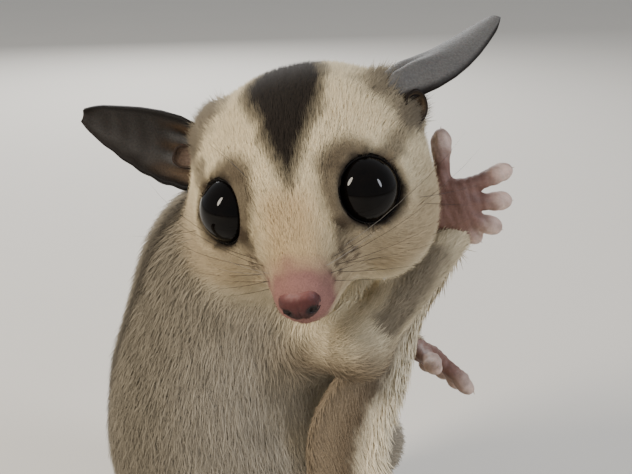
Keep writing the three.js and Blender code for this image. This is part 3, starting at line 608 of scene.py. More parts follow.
def placed(
    mesh: bpy.types.Mesh, name: str, finish: bpy.types.Material, replaces: Sequence[str] = ()
) -> None:
    """Sets a mesh in metres on the body as a finished piece and reports it."""
    made = link(mesh, name)
    mesh.materials.append(finish)
    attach(made, ROOT)
    if replaces:
        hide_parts(*replaces)
    LOG.info("%s: %d faces", name, len(mesh.polygons))


# Tufts: the coat is solid mesh, many thin closed spikes joined in arrays


@dataclass(frozen=True)
class TuftForm:
    """How a tuft is cut: the shares of its length that carry a ring, and the width there."""

    rings: tuple[float, ...]
    widths: tuple[float, ...]
    flatness: float = 0.3


FINE_TUFT = TuftForm(rings=(0.0,), widths=(1.0,))
BENT_TUFT = TuftForm(rings=(0.0, 0.5), widths=(0.8, 1.0))
LONG_LOCK = TuftForm(rings=(0.0, 0.33, 0.68), widths=(0.7, 1.0, 0.75))


@dataclass
class Tufts:
    """Many tufts, one row each: where they stand, how they lie and what colour they have."""

    roots: Points
    normals: Points
    lies: Points
    lengths: np.ndarray
    widths: np.ndarray
    root_lean: np.ndarray
    tip_lean: np.ndarray
    root_tint: Points
    tip_tint: Points
    sink: float = 0.25
    tip_lies: Points | None = None

    PATCH = 0.003
    MARGIN = 0.01
    SOFTNESS = 0.15
    CORNER_SIDES = (-0.5, 0.5, 0.0)

    def chosen(self, keep: np.ndarray) -> Tufts:
        """Only the tufts that a mask keeps."""
        rows = {name: value[keep] for name, value in vars(self).items() if isinstance(value, np.ndarray)}
        return Tufts(sink=self.sink, **rows)

    def mesh(self, name: str, form: TuftForm, unwrap: Callable[[Points], Points]) -> bpy.types.Mesh:
        """Builds every tuft as a closed spike, in metres.

        Args:
            name: the mesh's name.
            form: how each tuft is cut.
            unwrap: the place of each root on an unwrap of the skin, from 0 to 1 both ways.

        Returns:
            The mesh, with its colours and the map that it is baked by.
        """
        count = len(self.roots)
        aside = unit(np.cross(self.lies, self.normals))
        start = self.roots - self.normals * self.sink
        first = self.normals * np.cos(self.root_lean)[:, None] + self.lies * np.sin(self.root_lean)[:, None]
        ends = self.lies if self.tip_lies is None else self.tip_lies
        last = self.normals * np.cos(self.tip_lean)[:, None] + ends * np.sin(self.tip_lean)[:, None]
        rows, tints, spots, facings = [], [], [], []
        for share, wide in zip(form.rings, form.widths):
            middle = start + (first * share + (last - first) * share**2 / 2) * self.lengths[:, None]
            along = unit(first + (last - first) * share)
            out = unit(np.cross(aside, along))
            out *= np.sign(dot(out, self.normals))[:, None]
            for side in self.CORNER_SIDES:
                rise = form.flatness if side == 0 else 0.0
                step = aside * side + out * rise
                rows.append(middle + step * (self.widths * wide)[:, None])
                facings.append(unit(self.normals + self.SOFTNESS * (aside * side * 2 + out * rise)))
                tints.append(mix(self.root_tint, self.tip_tint, np.full(count, share)))
                spots.append((side, share - 0.5))
        rows.append(start + (first + last) / 2 * self.lengths[:, None])
        facings.append(self.normals)
        tints.append(self.tip_tint)
        spots.append((0.0, 0.5))
        per = len(rows)
        points = np.stack(rows, axis=1).reshape(-1, 3)
        points[:, 2] = np.maximum(points[:, 2], FLOOR_CLEARANCE)
        faces = self._faces(len(form.rings), count, per)
        mesh = bpy.data.meshes.new(name)
        mesh.vertices.add(len(points))
        mesh.vertices.foreach_set("co", (points * MM).astype(np.float32).ravel())
        mesh.loops.add(faces.size)
        mesh.loops.foreach_set("vertex_index", faces.astype(np.int32).ravel())
        mesh.polygons.add(len(faces))
        mesh.polygons.foreach_set("loop_start", np.arange(0, faces.size, 3, dtype=np.int32))
        mesh.polygons.foreach_set("use_smooth", np.ones(len(faces), bool))
        mesh.update(calc_edges=True)
        mesh.normals_split_custom_set(self._corner_normals(np.stack(facings, axis=1), faces).tolist())
        add_tint(mesh, np.stack(tints, axis=1).reshape(-1, 3))
        middles = self.MARGIN + (1 - 2 * self.MARGIN) * unwrap(self.roots)
        places = middles[:, None, :] + np.array(spots) * self.PATCH
        layer = mesh.uv_layers.new(name="OFBake")
        layer.data.foreach_set("uv", places.reshape(-1, 2)[faces.ravel()].astype(np.float32).ravel())
        return mesh

    def _corner_normals(self, facings: Points, faces: np.ndarray) -> Points:
        """The normal at each face's corners: near the skin's own above, turned over underneath."""
        corners = facings.reshape(-1, 3)[faces]
        made = corners.reshape(len(facings), -1, 3, 3)
        # The cap comes first, then six faces a band, the first two of them underneath, and three at the tip
        under = np.zeros(made.shape[1], bool)
        under[0] = under[-3] = True
        under[1:-3:6] = under[2:-3:6] = True
        made[:, under] *= -1
        return made.reshape(-1, 3)

    @staticmethod
    def _faces(rings: int, count: int, per: int) -> np.ndarray:
        """The triangles of all tufts: a cap under the root, bands between rings and a point at the tip."""
        one = [(0, 1, 2)]
        for ring in range(rings - 1):
            low, high = 3 * ring, 3 * ring + 3
            for i in range(3):
                j = (i + 1) % 3
                one += [(low + j, low + i, high + j), (high + j, low + i, high + i)]
        top = 3 * (rings - 1)
        one += [(top + (i + 1) % 3, top + i, per - 1) for i in range(3)]
        return (np.array(one)[None] + np.arange(count)[:, None, None] * per).reshape(-1, 3)


# Materials


def add_node(
    material: bpy.types.Material,
    kind: str,
    settings: dict[str, object] | None = None,
    inputs: dict[str, object] | None = None,
) -> bpy.types.Node:
    """Adds a shader node with its settings, constant inputs and links.

    Args:
        material: the material to add to.
        kind: the node's type.
        settings: its properties by name.
        inputs: its inputs by name or number, each a constant or an output to link from.

    Returns:
        The node.
    """
    tree = material.node_tree
    made = tree.nodes.new(kind)
    for name, value in (settings or {}).items():
        setattr(made, name, value)
    for name, value in (inputs or {}).items():
        target = socket(made.inputs, name)
        if isinstance(value, bpy.types.NodeSocket):
            tree.links.new(value, target)
        else:
            target.default_value = value
    return made


def socket(sockets: Sequence[bpy.types.NodeSocket], name: str) -> bpy.types.NodeSocket:
    """The socket in use by that name."""
    return next(one for one in sockets if one.name == name and one.enabled)


def new_material(name: str, constants: dict[str, float]) -> tuple[bpy.types.Material, bpy.types.Node]:
    """An empty node material and its Principled shader with these constants."""
    material = bpy.data.materials.new(name)
    material.use_nodes = True
    material.node_tree.nodes.clear()
    shader = add_node(material, "ShaderNodeBsdfPrincipled", inputs=constants)
    add_node(material, "ShaderNodeOutputMaterial", inputs={"Surface": shader.outputs["BSDF"]})
    return material, shader


def noise_in(
    material: bpy.types.Material, size: float, detail: float = 2.0, roughness: float = 0.5
) -> bpy.types.NodeSocket:
    """The strength of a noise whose features are this many millimetres across."""
    place = add_node(material, "ShaderNodeTexCoord").outputs["Object"]
    inputs = {"Vector": place, "Scale": 1.0 / (size * MM), "Detail": detail, "Roughness": roughness}
    return add_node(material, "ShaderNodeTexNoise", inputs=inputs).outputs["Fac"]


@dataclass(frozen=True)
class TintedFinish:
    """A finish whose colour comes from the piece's own "tint", darkened and raised by a fine grain.

    The grain's size and its height `bump` are in millimetres; `dark` is the least share of the colour left.
    """

    name: str
    roughness: float
    grain_size: float
    dark: float
    bump: float
    sheen: float = 0.0
    specular: float = 0.5
    subsurface: float = 0.0

    SUBSURFACE_DEPTH = 1.2
    GRAIN_ENDS = {"From Min": 0.3, "From Max": 0.7, "To Max": 1.0}

    def make(self) -> bpy.types.Material:
        """The material."""
        constants = {
            "Roughness": self.roughness,
            "Sheen Weight": self.sheen,
            "Sheen Roughness": 0.5,
            "Specular IOR Level": self.specular,
            "Subsurface Weight": self.subsurface,
            "Subsurface Scale": self.SUBSURFACE_DEPTH * MM,
        }
        material, shader = new_material(self.name, constants)
        tint = add_node(material, "ShaderNodeVertexColor", {"layer_name": "tint"}).outputs["Color"]
        noise = noise_in(material, self.grain_size, 3.0, 0.6)
        ends = {"Value": noise, "To Min": self.dark, **self.GRAIN_ENDS}
        shade = add_node(material, "ShaderNodeMapRange", inputs=ends).outputs["Result"]
        product = {"data_type": "RGBA", "blend_type": "MULTIPLY"}
        varied = add_node(material, "ShaderNodeMix", product, {"Factor": 1.0, "A": tint, "B": shade})
        relief = {"Height": noise, "Strength": 1.0, "Distance": self.bump * MM}
        height = add_node(material, "ShaderNodeBump", inputs=relief)
        material.node_tree.links.new(socket(varied.outputs, "Result"), shader.inputs["Base Color"])
        material.node_tree.links.new(height.outputs["Normal"], shader.inputs["Normal"])
        return material


# Fur hairs scatter light along their length: matt, with a faint pale sheen at grazing angles
FUR = TintedFinish("fur, soft grey agouti", 0.75, 0.5, 0.86, 0.02, sheen=0.04, specular=0.12)
# The hide under the coat is painted darker than the hairs, as painted shade under them, and is rougher
HIDE = TintedFinish("hide with short underfur", 0.9, 0.22, 0.7, 0.1, specular=0.12)
# Bare skin of the paws: pink, moist and finely creased
PAW_SKIN = TintedFinish("bare pink paw skin", 0.55, 0.45, 0.8, 0.09, specular=0.3, subsurface=0.06)
# Bare skin of the nose: damp, with pebbled grain that breaks the light
NOSE_SKIN = TintedFinish("damp pebbled nose skin", 0.46, 0.3, 0.82, 0.05, specular=0.26, subsurface=0.08)
# Ears are naked leather: a dull gloss, with pores that show as fine speckles
EAR_SKIN = TintedFinish("naked ear leather", 0.55, 0.32, 0.6, 0.07, specular=0.12, subsurface=0.03)
# Lids and lips: dark bare skin, a little wet
RIM_SKIN = TintedFinish("dark wet rim skin", 0.6, 0.4, 0.8, 0.03, specular=0.08)
# Claws and whiskers: keratin, horny and smooth, a tight highlight
KERATIN = TintedFinish("keratin", 0.45, 0.8, 0.9, 0.01, specular=0.3)


@dataclass(frozen=True)
class MottledFinish:
    """A smooth finish between two colours, in swells of `size` millimetres; `dim` darkens the first one."""

    name: str
    low: str
    high: str
    size: float
    roughness: float
    ior: float = 1.5
    specular: float = 0.5
    dim: float = 1.0

    def make(self) -> bpy.types.Material:
        """The material."""
        constants = {"Roughness": self.roughness, "IOR": self.ior, "Specular IOR Level": self.specular}
        material, shader = new_material(self.name, constants)
        ramp = add_node(material, "ShaderNodeValToRGB", inputs={"Fac": noise_in(material, self.size)})
        ramp.color_ramp.elements[0].color = (*(self.dim * c for c in linear(self.low)), 1)
        ramp.color_ramp.elements[1].color = (*linear(self.high), 1)
        material.node_tree.links.new(ramp.outputs["Color"], shader.inputs["Base Color"])
        return material


# A wet dark eye: nearly black brown under a clear cornea, so that it shows only sharp lights
CORNEA = MottledFinish("wet cornea over dark iris", "#030303", "#0d0907", 1.5, 0.03, ior=1.38, specular=0.2)
# A sheet of matt studio paper: pale, without gloss, with a barely seen tooth
PAPER = MottledFinish("matt studio paper", "#d6d2ca", "#d6d2ca", 60, 0.9, dim=0.97)


# The animal's shapes, with the sizes that the CAD gives them


class Side(Enum):
    """A side of the animal, with the sign of its places in the head's frame."""

    LEFT = 1
    RIGHT = -1

    @property
    def label(self) -> str:
        """The side's name in the CAD's nodes."""
        return self.name.lower()

    def mirrored(self, place: Sequence[float]) -> Points:
        """A place of the left side on this side."""
        return np.array([self.value * place[0], place[1], place[2]])


class Region(IntEnum):
    """Regions of the body, each with its own lie and length of coat."""

    HEAD = 0
    TRUNK = 1
    ARM_RIGHT = 2
    ARM_LEFT = 3
    LEG_RIGHT = 4
    LEG_LEFT = 5
    TAIL = 6


@dataclass(frozen=True)
class Eye:
    """Where an eye sits in the head and how it looks out."""

    side: Side
    radius: float = 4.9
    opening: Trio = (10.3, -2.2, 0.6)
    azimuth: float = 38.0
    elevation: float = 22.0
    opening_radius: float = 4.5
    play: float = 0.12
    flare: float = 0.4
    sunk: float = 0.9

    @property
    def axis(self) -> Points:
        """The direction that the eye looks in, in the head's frame."""
        turn, rise = math.radians(self.azimuth), math.radians(self.elevation)
        flat = math.cos(rise)
        return np.array([self.side.value * math.sin(turn) * flat, -math.cos(turn) * flat, math.sin(rise)])

    @property
    def depth(self) -> float:
        """How far the opening lies before the middle of the eye."""
        return math.sqrt(self.radius**2 - self.opening_radius**2)

    @property
    def centre(self) -> Points:
        """The middle of the eye, in the head's frame."""
        return self.side.mirrored(self.opening) - self.axis * self.depth

    def around(self, points: Points) -> tuple[np.ndarray, np.ndarray, Points]:
        """How far points in the head's frame lie before the eye's middle, off its axis, and which way."""
        offset = points - self.centre
        height = offset @ self.axis
        aside = offset - height[:, None] * self.axis
        reach = np.linalg.norm(aside, axis=1)
        return height, reach, aside / np.maximum(reach, 1e-9)[:, None]


EYES = (Eye(Side.LEFT), Eye(Side.RIGHT))
NOSE_TIP = np.array([0.0, -14.0, -8.0])
EAR_TUFT_LINE = ((13.2, 13.4, 8.0), (15.8, 11.4, 4.8))


def off_nose(local: Points) -> np.ndarray:
    """How far points of the head's frame lie from the tip of the nose."""
    return np.linalg.norm(local - NOSE_TIP, axis=1)


def off_ear_tuft(local: Points, side: Side) -> np.ndarray:
    """How far points of the head's frame lie from the line before one ear's root."""
    return off_line(local, *(side.mirrored(end) for end in EAR_TUFT_LINE))[0]


def beside_eyes(local: Points, near: float, far: float) -> np.ndarray:
    """The share of the coat that is left at `near` to `far` off the eyes' axes, in the head's frame."""
    return np.min([0.3 + 0.7 * smooth(near, far, eye.around(local)[1]) for eye in EYES], axis=0)


@dataclass(frozen=True)
class Limb:
    """A limb's joints in the body's frame, its thickness at each and how softly they blend."""

    joints: Sequence[Trio]
    radii: Trio
    width: float

    def shape(self) -> Shape:
        """The limb as a chain through its joints."""
        return chain(self.width, [BODY.out(joint) for joint in self.joints], self.radii)


ARM_RADII = (6.4, 4.4, 3.1)
LEG_RADII = (11.5, 7.4, 4.2)
LIMBS = {
    Region.ARM_RIGHT: Limb(((-4, -5, 58), (9, -19, 60.5), (26.3, -4.4, 72.6)), ARM_RADII, 3),
    Region.ARM_LEFT: Limb(((-3, 8, 58), (5, 17.5, 43), (22, 11, 46)), ARM_RADII, 3),
    Region.LEG_RIGHT: Limb(((-4, -11, 18), (14, -17, 23), (0, -19.5, 6.2)), LEG_RADII, 4),
    Region.LEG_LEFT: Limb(((-4, 11, 18), (15, 17, 22), (1, 19.5, 6.2)), LEG_RADII, 4),
}


@dataclass
class Tail:
    """The tail's path over the floor, its core and how far its coat reaches."""

    line: Sequence[Trio] = (
        (-6, 0, 12),
        (-20, 1, 8.5),
        (-34, 2, 4.85),
        (-56, 1, 4.85),
        (-80, -6, 4.85),
        (-102, -18, 4.85),
        (-118, -34, 4.3),
        (-127, -52, 3.6),
    )
    radius: float = 10.5
    root_radius: float = 6.5
    core_share: float = 0.48
    core_end: float = 0.9
    links: int = 18

    def __post_init__(self) -> None:
        """Measures the path."""
        self.path = Path(BODY.out(np.array(self.line, float)))

    def coat_radius(self, share: np.ndarray) -> np.ndarray:
        """How thick the furred tail is at shares of its length."""
        root = smooth(-0.1, 0.35, share)
        tip = np.sqrt(np.maximum(0, 1 - np.maximum(0, (share - 0.72) / 0.29) ** 2))
        return (self.root_radius + (self.radius - self.root_radius) * root) * tip

    def core_radius(self, share: np.ndarray) -> np.ndarray:
        """How thick the tail is under its coat at shares of its length."""
        return self.core_share * np.maximum(self.coat_radius(share), 0.55 * self.radius)

    def shape(self) -> Shape:
        """The core as a chain."""
        shares = np.linspace(0, self.core_end, self.links + 1)
        return chain(1.5, list(self.path.at(shares)), list(self.core_radius(shares)))


def trunk_shape() -> Shape:
    """Rump, back, belly, shoulders and neck."""
    lumps = (
        ((-3, 0, 16.6), (18, 18, 18)),
        ((-13, 0, 36), (18.3, 18, 18)),
        ((-12, 0, 51), (17, 16.5, 16)),
        ((-8.5, 1, 66), (15.6, 14, 14)),
        ((4, -2, 60), (12, 12, 14)),
        ((2, 0, 31), (14, 15, 17)),
    )
    back_and_belly = Blend(9, [Ellipsoid(BODY, centre, radii) for centre, radii in lumps])
    nape = Bone(BODY.out((-6, 0, 70)), HEAD.out((0, 15, -3)), 12.5, 10.5)
    throat = Bone(BODY.out((3, -6, 66)), HEAD.out((1, 7, -9)), 9, 6.5)
    return Blend(6, [back_and_belly, nape, throat])


def face_shape() -> Shape:
    """Skull, cheeks, muzzle and jaw, with the low swellings that carry the eyes."""
    lumps = [Ellipsoid(HEAD, (0, 13, 1), (17, 15.5, 11.6)), Ellipsoid(HEAD, (0, 1.5, -0.5), (12, 10.5, 9))]
    for side in Side:
        lumps.append(Ellipsoid(HEAD, side.mirrored((9.9, 7.5, -4)), (8.3, 10, 8)))
        lumps.append(Ellipsoid(HEAD, side.mirrored((9.3, 4, -8.6)), (8.4, 9.4, 7.8)))
    muzzle = Bone(HEAD.out((0, -2, -4.6)), HEAD.out((0, -11.2, -7.6)), 7.6, 4.1)
    jaw = Bone(HEAD.out((0, 4, -9)), HEAD.out((0, -8.4, -11)), 6.5, 2.7)
    skull = Blend(5, [*lumps, muzzle, jaw])
    beds = [Ellipsoid(HEAD, eye.centre - 1.2 * eye.axis, (5.4, 5.4, 5.4)) for eye in EYES]
    return Blend(2.5, [skull, *beds])


@dataclass
class Anatomy:
    """The shapes that the skin is modelled on, region by region."""

    crease: float = 4.0
    mingle: float = 1.1
    edge: float = 0.5
    mouth_depth: float = 0.55
    cleft_depth: float = 0.4
    lip_height: float = 0.3
    lip_place: float = 0.95
    mouth_reach: float = 15
    lip_corner: Trio = (6.4, -3.8, -9.7)
    lip_front: Trio = (0, -13.3, -10.6)

    def __post_init__(self) -> None:
        """Builds every region's shape, the line of the mouth and the guides that the coat lies along."""
        self.tail = Tail()
        self.face = face_shape()
        self.shapes = {Region.HEAD: self.face, Region.TRUNK: trunk_shape(), Region.TAIL: self.tail.shape()}
        spine = BODY.out([(-8, 0, 72), (-12, 0, 55), (-12, 0, 38), (-9, 0, 22), (-16, 0, 9)])
        self.guides = {
            Region.HEAD: Path(HEAD.out([(0, -13, -8), (0, -4, -4), (0, 8, -1), (0, 26, 0)])),
            Region.TRUNK: Path([HEAD.out((0, 15, -3)), *spine]),
            Region.TAIL: self.tail.path,
        }
        for region, limb in LIMBS.items():
            self.shapes[region] = limb.shape()
            self.guides[region] = Path(BODY.out(limb.joints))
        self.mouth = self._mouth_line()

    def _mouth_line(self) -> Points:
        """The line where the lips meet, from one corner of the mouth to the other."""
        t = np.linspace(-1, 1, 41)
        corner, front = self.lip_corner, self.lip_front
        back = front[1] + (corner[1] - front[1]) * t**2
        rise = front[2] + (corner[2] - front[2]) * t**2
        return settled(self.face.distance, HEAD.out(np.column_stack([corner[0] * t, back, rise])))

    def reaches(self, points: Points) -> Points:
        """How far each point lies outside each region, one column a region."""
        return np.stack([self.shapes[region].distance(points) for region in Region], axis=1)

    def shares(self, points: Points, reaches: Points | None = None) -> Points:
        """How much each region owns of each point, one column a region."""
        reaches = self.reaches(points) if reaches is None else reaches
        nearness = np.exp(-(reaches - reaches.min(axis=1, keepdims=True)) / self.mingle)
        return nearness / nearness.sum(axis=1, keepdims=True)

    def skin_level(self, points: Points) -> np.ndarray:
        """Zero on the skin, which lies under the outside of the coat by the coat's depth."""
        reaches = self.reaches(points)
        whole = reaches[:, 0]
        for column in range(1, reaches.shape[1]):
            whole = soft_least(whole, reaches[:, column], self.crease)
        local = HEAD.into(points)
        whole = whole + coat_depth(local, self.shares(points, reaches)) + self._lips(points, local)
        whole = soft_most(whole, -eye_flare(local), self.edge)
        return soft_most(whole, FLOOR_CLEARANCE - points[:, 2], self.edge)

    def _lips(self, points: Points, local: Points) -> np.ndarray:
        """How far the mouth's line and the cleft under the nose draw the skin in, and the lips out."""
        change = np.zeros(len(points))
        near = off_nose(local) < self.mouth_reach
        if not near.any():
            return change
        apart = np.linalg.norm(points[near, None, :] - self.mouth[None], axis=2).min(axis=1)
        cleft = np.hypot(local[near, 0], np.maximum(np.abs(local[near, 2] + 9.8) - 0.9, 0))
        cleft = np.where(local[near, 1] < -9, cleft, 9.0)
        groove = self.mouth_depth * bell(apart, 0.4) + self.cleft_depth * bell(cleft, 0.35)
        change[near] = groove - self.lip_height * bell(apart - self.lip_place, 0.5)
        return change


def eye_flare(local: Points) -> np.ndarray:
    """How far points of the head's frame lie outside the cones that are kept free before the eyes."""
    cones = []
    for eye in EYES:
        height, reach, _ = eye.around(local)
        cone = reach - (eye.opening_radius + eye.play + eye.flare * (height - eye.depth))
        cones.append(np.maximum(cone, eye.depth - eye.sunk - height))
    return np.min(cones, axis=0)


@dataclass(frozen=True)
class CoatStyle:
    """How the coat of a region grows: its depth, and its tufts' length, width and leans in degrees."""

    depth: float
    length: float
    width: float
    root_lean: float
    tip_lean: float


COATS = {
    Region.HEAD: CoatStyle(0.9, 2.5, 0.17, 54, 82),
    Region.TRUNK: CoatStyle(0.9, 3.0, 0.16, 61, 85),
    **dict.fromkeys((Region.ARM_RIGHT, Region.ARM_LEFT), CoatStyle(0.6, 2.0, 0.17, 60, 84)),
    **dict.fromkeys((Region.LEG_RIGHT, Region.LEG_LEFT), CoatStyle(0.8, 2.8, 0.19, 61, 85)),
    Region.TAIL: CoatStyle(0.0, 16.0, 0.5, 52, 84),
}


def coat_value(name: str, shares: Points) -> np.ndarray:
    """A value of the regions' coats, mixed by the regions' shares."""
    return shares @ np.array([getattr(COATS[region], name) for region in Region])


def muzzle_share(local: Points) -> np.ndarray:
    """How far along points lie from the bare end of the muzzle, 0, to the furred face, 1."""
    return smooth(3.0, 12.0, off_nose(local))


def pink_share(local: Points, rag: np.ndarray) -> np.ndarray:
    """How pink the end of the muzzle is, where its skin shows through the shortest fur."""
    return smooth(7.2, 3.6, off_nose(local) + 0.5 * rag)


def coat_depth(local: Points, shares: Points) -> np.ndarray:
    """The coat's depth at places of the head's frame with these shares of the regions."""
    head = shares[:, Region.HEAD]
    thin = (0.12 + 0.88 * muzzle_share(local)) * beside_eyes(local, 5.0, 8.5)
    return coat_value("depth", shares) * (1 - head + head * thin)


# Markings, shared by the skin and the coat


@dataclass(frozen=True)
class Markings:
    """The animal's colours as sRGB hex values, and where each lies."""

    cream: str = "#e0d0ab"
    crown: str = "#cfc1a0"
    cheek: str = "#b8a686"
    chin: str = "#d6c8a9"
    stripe: str = "#27211b"
    bridge: str = "#bb9f76"
    bare: str = "#906a62"
    eye_ring: str = "#241d17"
    # Dark eye patches and streaks, also used as painted shadow at the eyes' inner corners
    temple: str = "#4b3f32"
    ear_tuft: str = "#5d5447"
    back: str = "#807868"
    flank: str = "#9d9483"
    belly: str = "#cdbd9c"
    arm: str = "#8b7c66"
    arm_band: str = "#5f5445"
    cuff: str = "#cdbfa0"
    tail: str = "#857b6a"
    tail_tip: str = "#1b1714"
    whisker_bed: str = "#4a3a30"
    band_line: tuple[Trio, Trio] = ((21.8, -9.2, 70.4), (13.0, -19.0, 64.2))
    # The second streak runs down from the eye's inner corner toward the muzzle and is painted shadow of the
    # hollow there; the others are dark markings
    streaks: Sequence[tuple[Trio, Trio, float, float]] = (
        ((13.6, 1.2, 3.2), (16.5, 12.5, 4.2), 1.7, 0.8),
        ((6.9, -7.2, -1.2), (6.4, -8.8, -5.0), 1.3, 0.95),
        ((6.2, -3.0, 5.6), (9.5, 1.5, 7.4), 1.2, 0.5),
    )

    def colour(self, points: Points, normals: Points, shares: Points) -> Points:
        """The coat's colour at places on the animal.

        Args:
            points: the places, in the part's frame.
            normals: the outward directions there.
            shares: how much each region owns of each place.

        Returns:
            A linear colour for each place.
        """
        arm, leg = self._arm(points, normals), self._leg(points)
        limbs = dict(zip(LIMBS, (arm, arm, leg, leg)))
        tints = {
            Region.HEAD: self._head(HEAD.into(points)),
            Region.TRUNK: self._trunk(points, normals),
            **limbs,
            Region.TAIL: self._tail(points),
        }
        whole = sum(tints[region] * shares[:, region, None] for region in Region)
        return toward(whole, self.stripe, self._stripe_share(points, normals, shares))

    def _head(self, local: Points) -> Points:
        """The face and the crown, in the head's frame."""
        x, y, z = local.T
        rag = wander(local, 3.0, 11)
        tint = toward(solid(self.cream, local), self.crown, smooth(6, 18, y))
        tint = toward(tint, self.cheek, smooth(2.0, -6.0, z + rag))
        tint = toward(tint, self.chin, smooth(-9.5, -13.0, z + 0.5 * rag))
        bridge = smooth(5.0, 1.5, np.abs(x)) * smooth(-5.0, -8.5, y) * smooth(-8.0, -3.0, z)
        tint = toward(tint, self.bridge, 0.7 * bridge)
        for eye in EYES:
            tint = self._around_eye(tint, local, eye, rag)
        for side in Side:
            tint = toward(tint, self.ear_tuft, 0.85 * smooth(6.2, 1.6, off_ear_tuft(local, side) + rag))
        tint = self._whisker_bed(tint, local)
        return toward(tint, self.bare, pink_share(local, rag))

    def _around_eye(self, tint: Points, local: Points, eye: Eye, rag: np.ndarray) -> Points:
        """Adds one eye's dark patch, its dark rim and the streaks that leave it, with painted shadow of the
        hollow at its inner corner.
        """
        height, reach, away = eye.around(local)
        inward = away[:, 0] * -eye.side.value
        beyond = reach - eye.opening_radius
        # The patch widens inward as painted shadow in the hollow at the eye's inner corner
        width = 0.6 + 2.9 * np.clip(0.45 * away[:, 2] + 0.75 * inward, 0, 1) + 0.3 * rag
        front = smooth(-5.0, -2.0, height)
        smudge_and_shadow = smooth(width + 1.5, width - 1.0, beyond - 0.2) * front
        tint = toward(tint, self.temple, 0.85 * smudge_and_shadow)
        tint = toward(tint, self.eye_ring, 0.9 * smooth(1.3, 0.2, beyond + 0.25 * rag) * front)
        for start, end, half, strength in self.streaks:
            apart, along = off_line(local, eye.side.mirrored(start), eye.side.mirrored(end))
            share = smooth(half + 1.1, half - 1.1, apart + 0.5 * rag) * (1 - 0.5 * along)
            tint = toward(tint, self.temple, strength * share)
        return tint

    def _whisker_bed(self, tint: Points, local: Points) -> Points:
        """Adds the small dark spots that the whiskers stand in."""
        for side in Side:
            for place in WHISKER_ROOTS:
                apart = np.linalg.norm(local - side.mirrored(place), axis=1)
                tint = toward(tint, self.whisker_bed, 0.8 * smooth(0.9, 0.25, apart))
        return tint

    def _trunk(self, points: Points, normals: Points) -> Points:
        """Grey back and flanks over a cream belly."""
        forward = BODY.into(points)[:, 0]
        facing = BODY.into(normals + BODY.origin)[:, 0]
        rag = wander(points, 7.0, 21)
        tint = toward(solid(self.back, points), self.flank, smooth(-0.75, 0.1, facing))
        tint = toward(tint, self.belly, smooth(0.25, 0.75, facing + 0.12 * rag) * smooth(-8, 2, forward))
        return toward(tint, self.cream, throat_share(points, rag))

    def _arm(self, points: Points, normals: Points) -> Points:
        """Grey brown arms with pale cuffs and a pale upper side, partly pale fur and partly painted light
        from above.
        """
        rag = wander(points, 5.0, 31)
        near = np.min([np.linalg.norm(points - hand.frame.origin, axis=1) for hand in HANDS], axis=0)
        tint = toward(solid(self.arm, points), self.cuff, smooth(17, 8, near + rag))
        # The pale upper side is partly the forearm's pale fur, partly painted light from above
        pale = np.maximum(0.85 * smooth(0.0, 0.55, normals[:, 2] + 0.1 * rag), throat_share(points, rag))
        tint = toward(tint, self.cuff, pale)
        apart, _ = off_line(BODY.into(points), *self.band_line)
        return toward(tint, self.arm_band, 0.8 * smooth(3.4, 1.4, apart + 0.3 * rag))

    def _leg(self, points: Points) -> Points:
        """Grey legs, paler toward the ankle."""
        rag = wander(points, 6.0, 41)
        return toward(solid(self.flank, points), self.cuff, 0.8 * smooth(12, 4, points[:, 2] + 1.5 * rag))

    def _tail(self, points: Points) -> Points:
        """A grey tail that darkens to a nearly black end."""
        share = ANATOMY.tail.path.nearest(points)
        rag = wander(points, 9.0, 51)
        dark = smooth(0.5, 0.85, share + 0.05 * rag)
        return toward(solid(self.tail, points), self.tail_tip, dark)

    def _stripe_share(self, points: Points, normals: Points, shares: Points) -> np.ndarray:
        """How much of the dark line from between the eyes down the back covers each place."""
        line, half_widths = STRIPE
        apart = ((points[:, None, :] - line[None]) ** 2).sum(axis=2)
        nearest = apart.argmin(axis=1)
        offset = points - line[nearest]
        aside = offset - dot(offset, normals)[:, None] * normals
        reach = np.linalg.norm(aside, axis=1) + 0.45 * wander(points, 2.6, 61)
        reach += 0.4 * wander(points, 0.9, 62)
        half = half_widths[nearest]
        near = smooth(7.0, 4.0, np.abs(dot(offset, normals)))
        body = 1 - 0.3 * shares[:, Region.TRUNK]
        edge = 0.75 * smooth(half + 1.3, half - 0.5, reach) + 0.25 * smooth(half - 0.2, half - 2.0, reach)
        return edge * near * body * (1 - shares[:, Region.TAIL])


def throat_share(points: Points, rag: np.ndarray) -> np.ndarray:
    """How near places lie to the pale throat under the jaw and the cheeks."""
    return smooth(17.0, 10.0, np.linalg.norm(HEAD.into(points) - (6, 1, -14), axis=1) + rag)


def stripe_line() -> tuple[Points, np.ndarray]:
    """The middle of the dark line from between the eyes to the rump, and its half width along the way."""
    on_head = ((0.9, -7.4, 5.4, 0.4), (0.8, -4.8, 7.3, 1.5), (0.4, -0.5, 9.6, 3.5), (0.2, 5, 11.4, 5.0))
    on_nape = ((-0.8, 12, 12.4, 6.6), (-0.6, 19, 11.6, 5.0), (0, 26, 6.5, 2.8))
    on_back = ((-13, -1, 82, 1.9), (-17.2, -3, 78.4, 1.7), (-21.9, -4, 73, 1.6), (-25.2, -4.4, 66.5, 1.6))
    on_rump = ((-28.4, -3.4, 57, 1.6), (-30, -1.6, 46, 1.6), (-30.5, -0.3, 34, 1.5), (-22, 0, 15, 1.3))
    heads = np.array(on_head + on_nape)
    backs = np.array(on_back + on_rump)
    path = Path(np.vstack([HEAD.out(heads[:, :3]), BODY.out(backs[:, :3])]))
    halves = np.concatenate([heads[:, 3], backs[:, 3]])
    places = np.linspace(0, 1, len(halves))
    return path.line, np.interp(path.shares, places, halves)


WHISKER_ROOTS = tuple(
    (4.3 + 0.75 * column + 0.1 * row, -11.4 + 1.45 * column + 0.25 * row, -4.6 - 1.35 * row + 0.1 * column)
    for row in range(3)
    for column in range(4)
)


# Sub-assemblies


